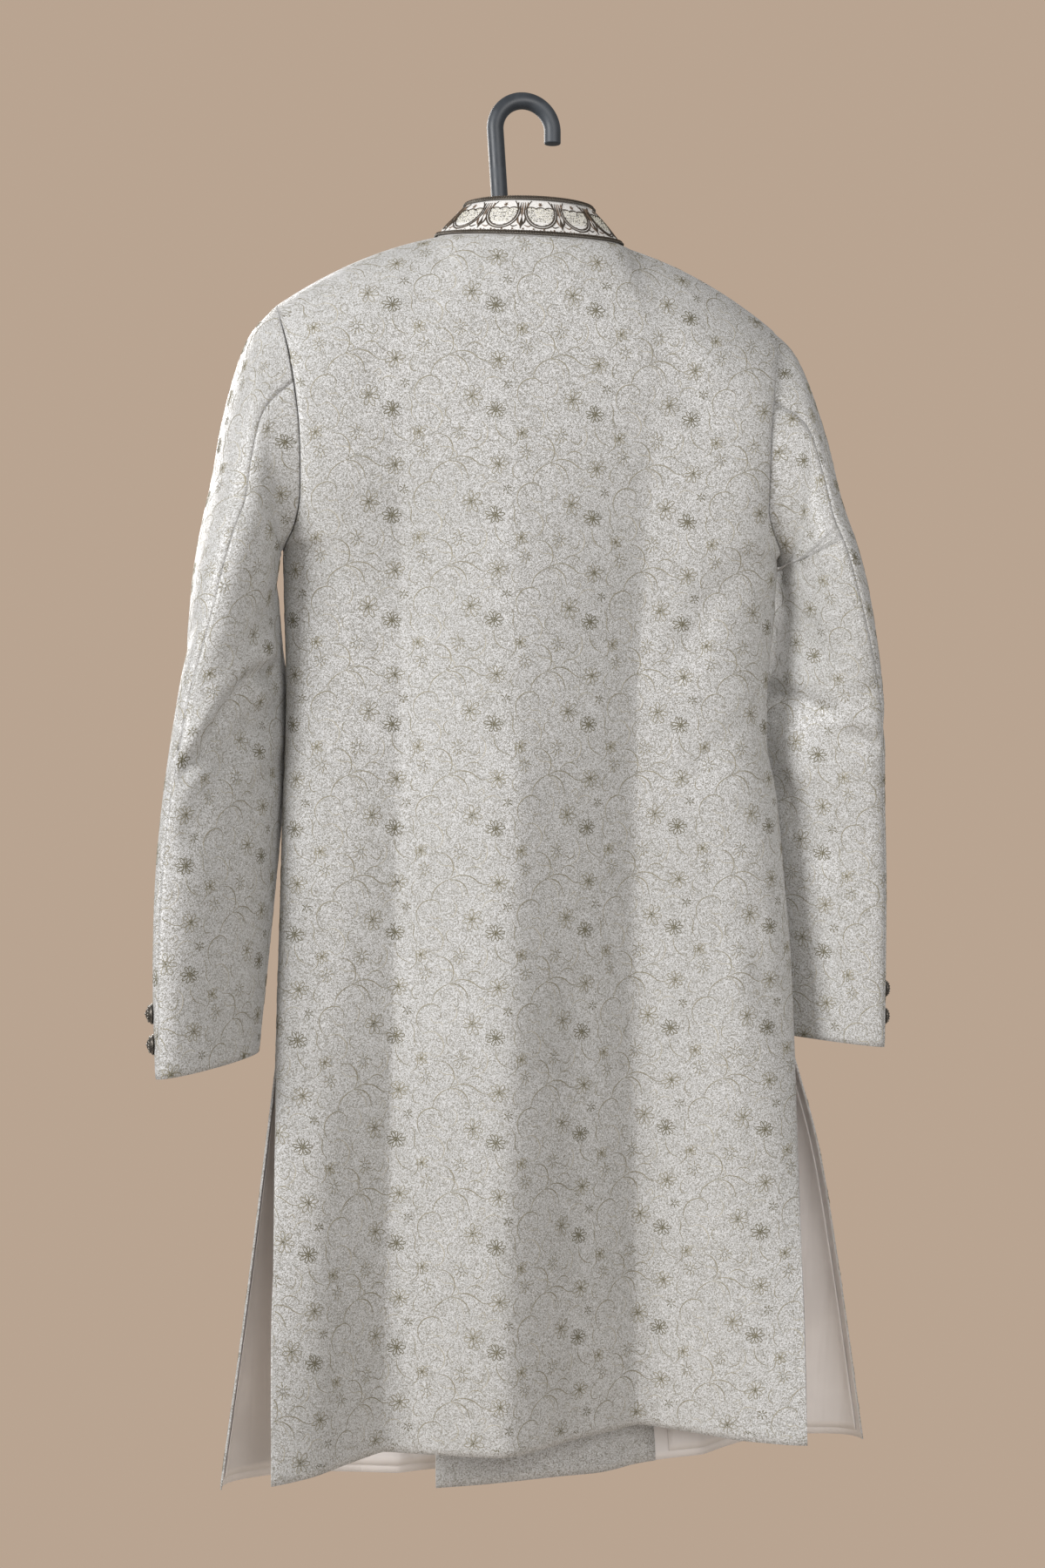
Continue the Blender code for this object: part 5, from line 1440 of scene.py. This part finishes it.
def make_hanger_arms(material):
    x = np.concatenate([np.linspace(0, 0.19, 30), [0.195, 0.200, 0.205, 0.209, 0.212]])
    half_depth, half_height = (column(HANGER_ARMS, name, x, "x") for name in ("half_depth", "half_height"))
    seam_z, _ = top_of(np.maximum(x, NECK_HALF_WIDTH), False)
    arm_top = np.minimum(seam_z - CLOTH - HANGER_CLEAR, HANGER_TOP_Z + 0 * x - 0.12 * np.maximum(x - 0.03, 0))
    path = np.stack([x, 0 * x, arm_top - half_height], axis=-1)
    path = np.concatenate([path[:0:-1] * [-1, 1, 1], path]) + [COAT_X, 0, 0]
    depth = np.concatenate([half_depth[:0:-1], half_depth])
    height = np.concatenate([half_height[:0:-1], half_height])
    return tube_mesh("hanger_arms", swept(path, depth, height, 28, np.array(BACKWARDS)), material)


# ---- stage ---------------------------------------------------------------------------------------------
def make_stage():
    floor_mesh = bpy.data.meshes.new("floor")
    bm = bmesh.new()
    bmesh.ops.create_circle(bm, cap_ends=True, segments=96, radius=FLOOR_RADIUS)
    bm.to_mesh(floor_mesh)
    bm.free()
    floor = add_object("floor", floor_mesh)
    floor.location = (0, 0, FLOOR_Z)
    paint = Shader("floor_paint")
    floor_mesh.materials.append(paint.finish(Base_Color=FLOOR_COLOR, Roughness=0.9))

    world = bpy.data.worlds.new("backdrop")
    bpy.context.scene.world = world
    world.use_nodes = True
    tree = world.node_tree
    seen, lit = tree.nodes["Background"], tree.nodes.new("ShaderNodeBackground")
    seen.inputs["Color"].default_value = (*BACKDROP_COLOR, 1.0)
    lit.inputs["Color"].default_value = (*AMBIENT_COLOR, 1.0)
    lit.inputs["Strength"].default_value = AMBIENT
    path, mix = tree.nodes.new("ShaderNodeLightPath"), tree.nodes.new("ShaderNodeMixShader")
    tree.links.new(path.outputs["Is Camera Ray"], mix.inputs[0])
    tree.links.new(lit.outputs[0], mix.inputs[1])
    tree.links.new(seen.outputs[0], mix.inputs[2])
    tree.links.new(mix.outputs[0], tree.nodes["World Output"].inputs["Surface"])

    for name, place, size, power, color in LAMPS:
        light = bpy.data.lights.new(name, "AREA")
        light.shape, light.size, light.size_y = "RECTANGLE", *size
        light.energy, light.color = power, color
        lamp = add_object(name, light)
        lamp.location = place
        lamp.rotation_euler = (Vector(LAMP_AIM) - Vector(place)).to_track_quat("-Z", "Y").to_euler()


def make_camera():
    bpy.context.scene.view_settings.view_transform = "Standard"
    camera = bpy.data.cameras.new("camera")
    camera.sensor_fit, camera.sensor_height, camera.lens = "VERTICAL", 36.0, 50.0
    camera.shift_x = camera.shift_y = CAMERA_SHIFT
    obj = add_object("camera", camera)
    bearing = np.radians(CAMERA_BEARING)
    away = Vector((np.sin(bearing), np.cos(bearing), 0))
    obj.location = Vector(CAMERA_AIM) + away * CAMERA_DISTANCE
    obj.rotation_euler = (-away).to_track_quat("-Z", "Y").to_euler()
    bpy.context.scene.camera = obj


# ---- the coat ------------------------------------------------------------------------------------------
def show(obj, node):
    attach(obj, "root")
    if node:
        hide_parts(node)
    return obj


def cloth_piece(name, node, patch, wall, materials):
    """A shell that stands for a CAD node; the size of the flat piece it was cut from is printed."""
    piece = show(shell(name, patch, wall, 0.0, *materials), node)
    cut = patch.cut()
    print(f"{name}: {cut.width:.3f} x {cut.length:.3f} m, {cut.area:.4f} m2")


def main():
    brocade, satin = brocade_material(), satin_material()
    dark = thread_material("dark_thread", (0.085, 0.077, 0.046), (0.23, 0.205, 0.13), 0.25, 0.5)
    olive = thread_material("olive_thread", (0.17, 0.155, 0.11), (0.38, 0.35, 0.27), 0.20, 0.5)
    pale = thread_material("pale_thread", (0.30, 0.275, 0.215), (0.52, 0.49, 0.41), 0.15, 0.5)
    bronze = thread_material("bronze_cord", (0.022, 0.017, 0.012), (0.13, 0.10, 0.072), 0.3, 0.45)
    brown = thread_material("brown_silk", (0.085, 0.055, 0.035), (0.27, 0.19, 0.13), 0.15, 0.5)
    grey = thread_material("grey_cord", (0.045, 0.038, 0.030), (0.22, 0.195, 0.16), 0.35, 0.4)
    cream = bead_material("cream_beads", (0.075, 0.065, 0.04), (0.66, 0.64, 0.54))
    antique = metal_material("antique_metal", (0.05, 0.045, 0.038), (0.22, 0.20, 0.175))
    worn_metal = metal_material("worn_metal", (0.13, 0.12, 0.10), (0.42, 0.40, 0.36))
    plastic = plastic_material()
    threads = [dark, olive, pale]
    repeat = woven_repeat()

    def weave(node, patch, start):
        figure = lay(node + "_figure", patch, repeat, threads, repeat_offsets(patch, *start))
        show(figure, None)

    patches, angles = {}, {}
    for panel in ("back", "front_left", "front_right"):
        grid = body_surface(panel, BACK_COLUMNS if panel == "back" else FRONT_COLUMNS)
        middle = int(np.argmin(np.abs(grid[SKIRT_FINE_ROWS, :, 0])))
        outward = [0, 1, 0] if panel == "back" else [0, -1, 0]
        patch = patches[panel] = Patch(grid, outward, np.array(UPWARDS), middle, SKIRT_FINE_ROWS)
        cloth_piece(panel + "_cloth", panel, patch, CLOTH, (brocade, satin))
        weave(panel, patch, PATTERN_START[panel])
    for side, word, rings in ((1.0, "left", LEFT_RINGS), (-1.0, "right", RIGHT_RINGS)):
        for piece in ("under", "top"):
            node = f"sleeve_{word}_{piece}"
            patch, angles[word] = sleeve_patch(node, side, rings, piece)
            patches[node] = patch
            cloth_piece(node + "_cloth", node, patch, CLOTH, (brocade, satin))
            weave(node, patch, PATTERN_START["sleeve"])

    make_linings(patches, brocade, satin)
    make_collar(brocade, collar_cloth_material(), bronze, brown, grey, cream)
    make_buttons(patches, angles, [antique, worn_metal])
    show(make_hook(plastic), "hanger_hook")
    show(make_hanger_arms(plastic), "hanger_body")
    make_stage()
    make_camera()


def corners(bounds):
    return [list(corner) for corner in bounds]


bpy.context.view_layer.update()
main()
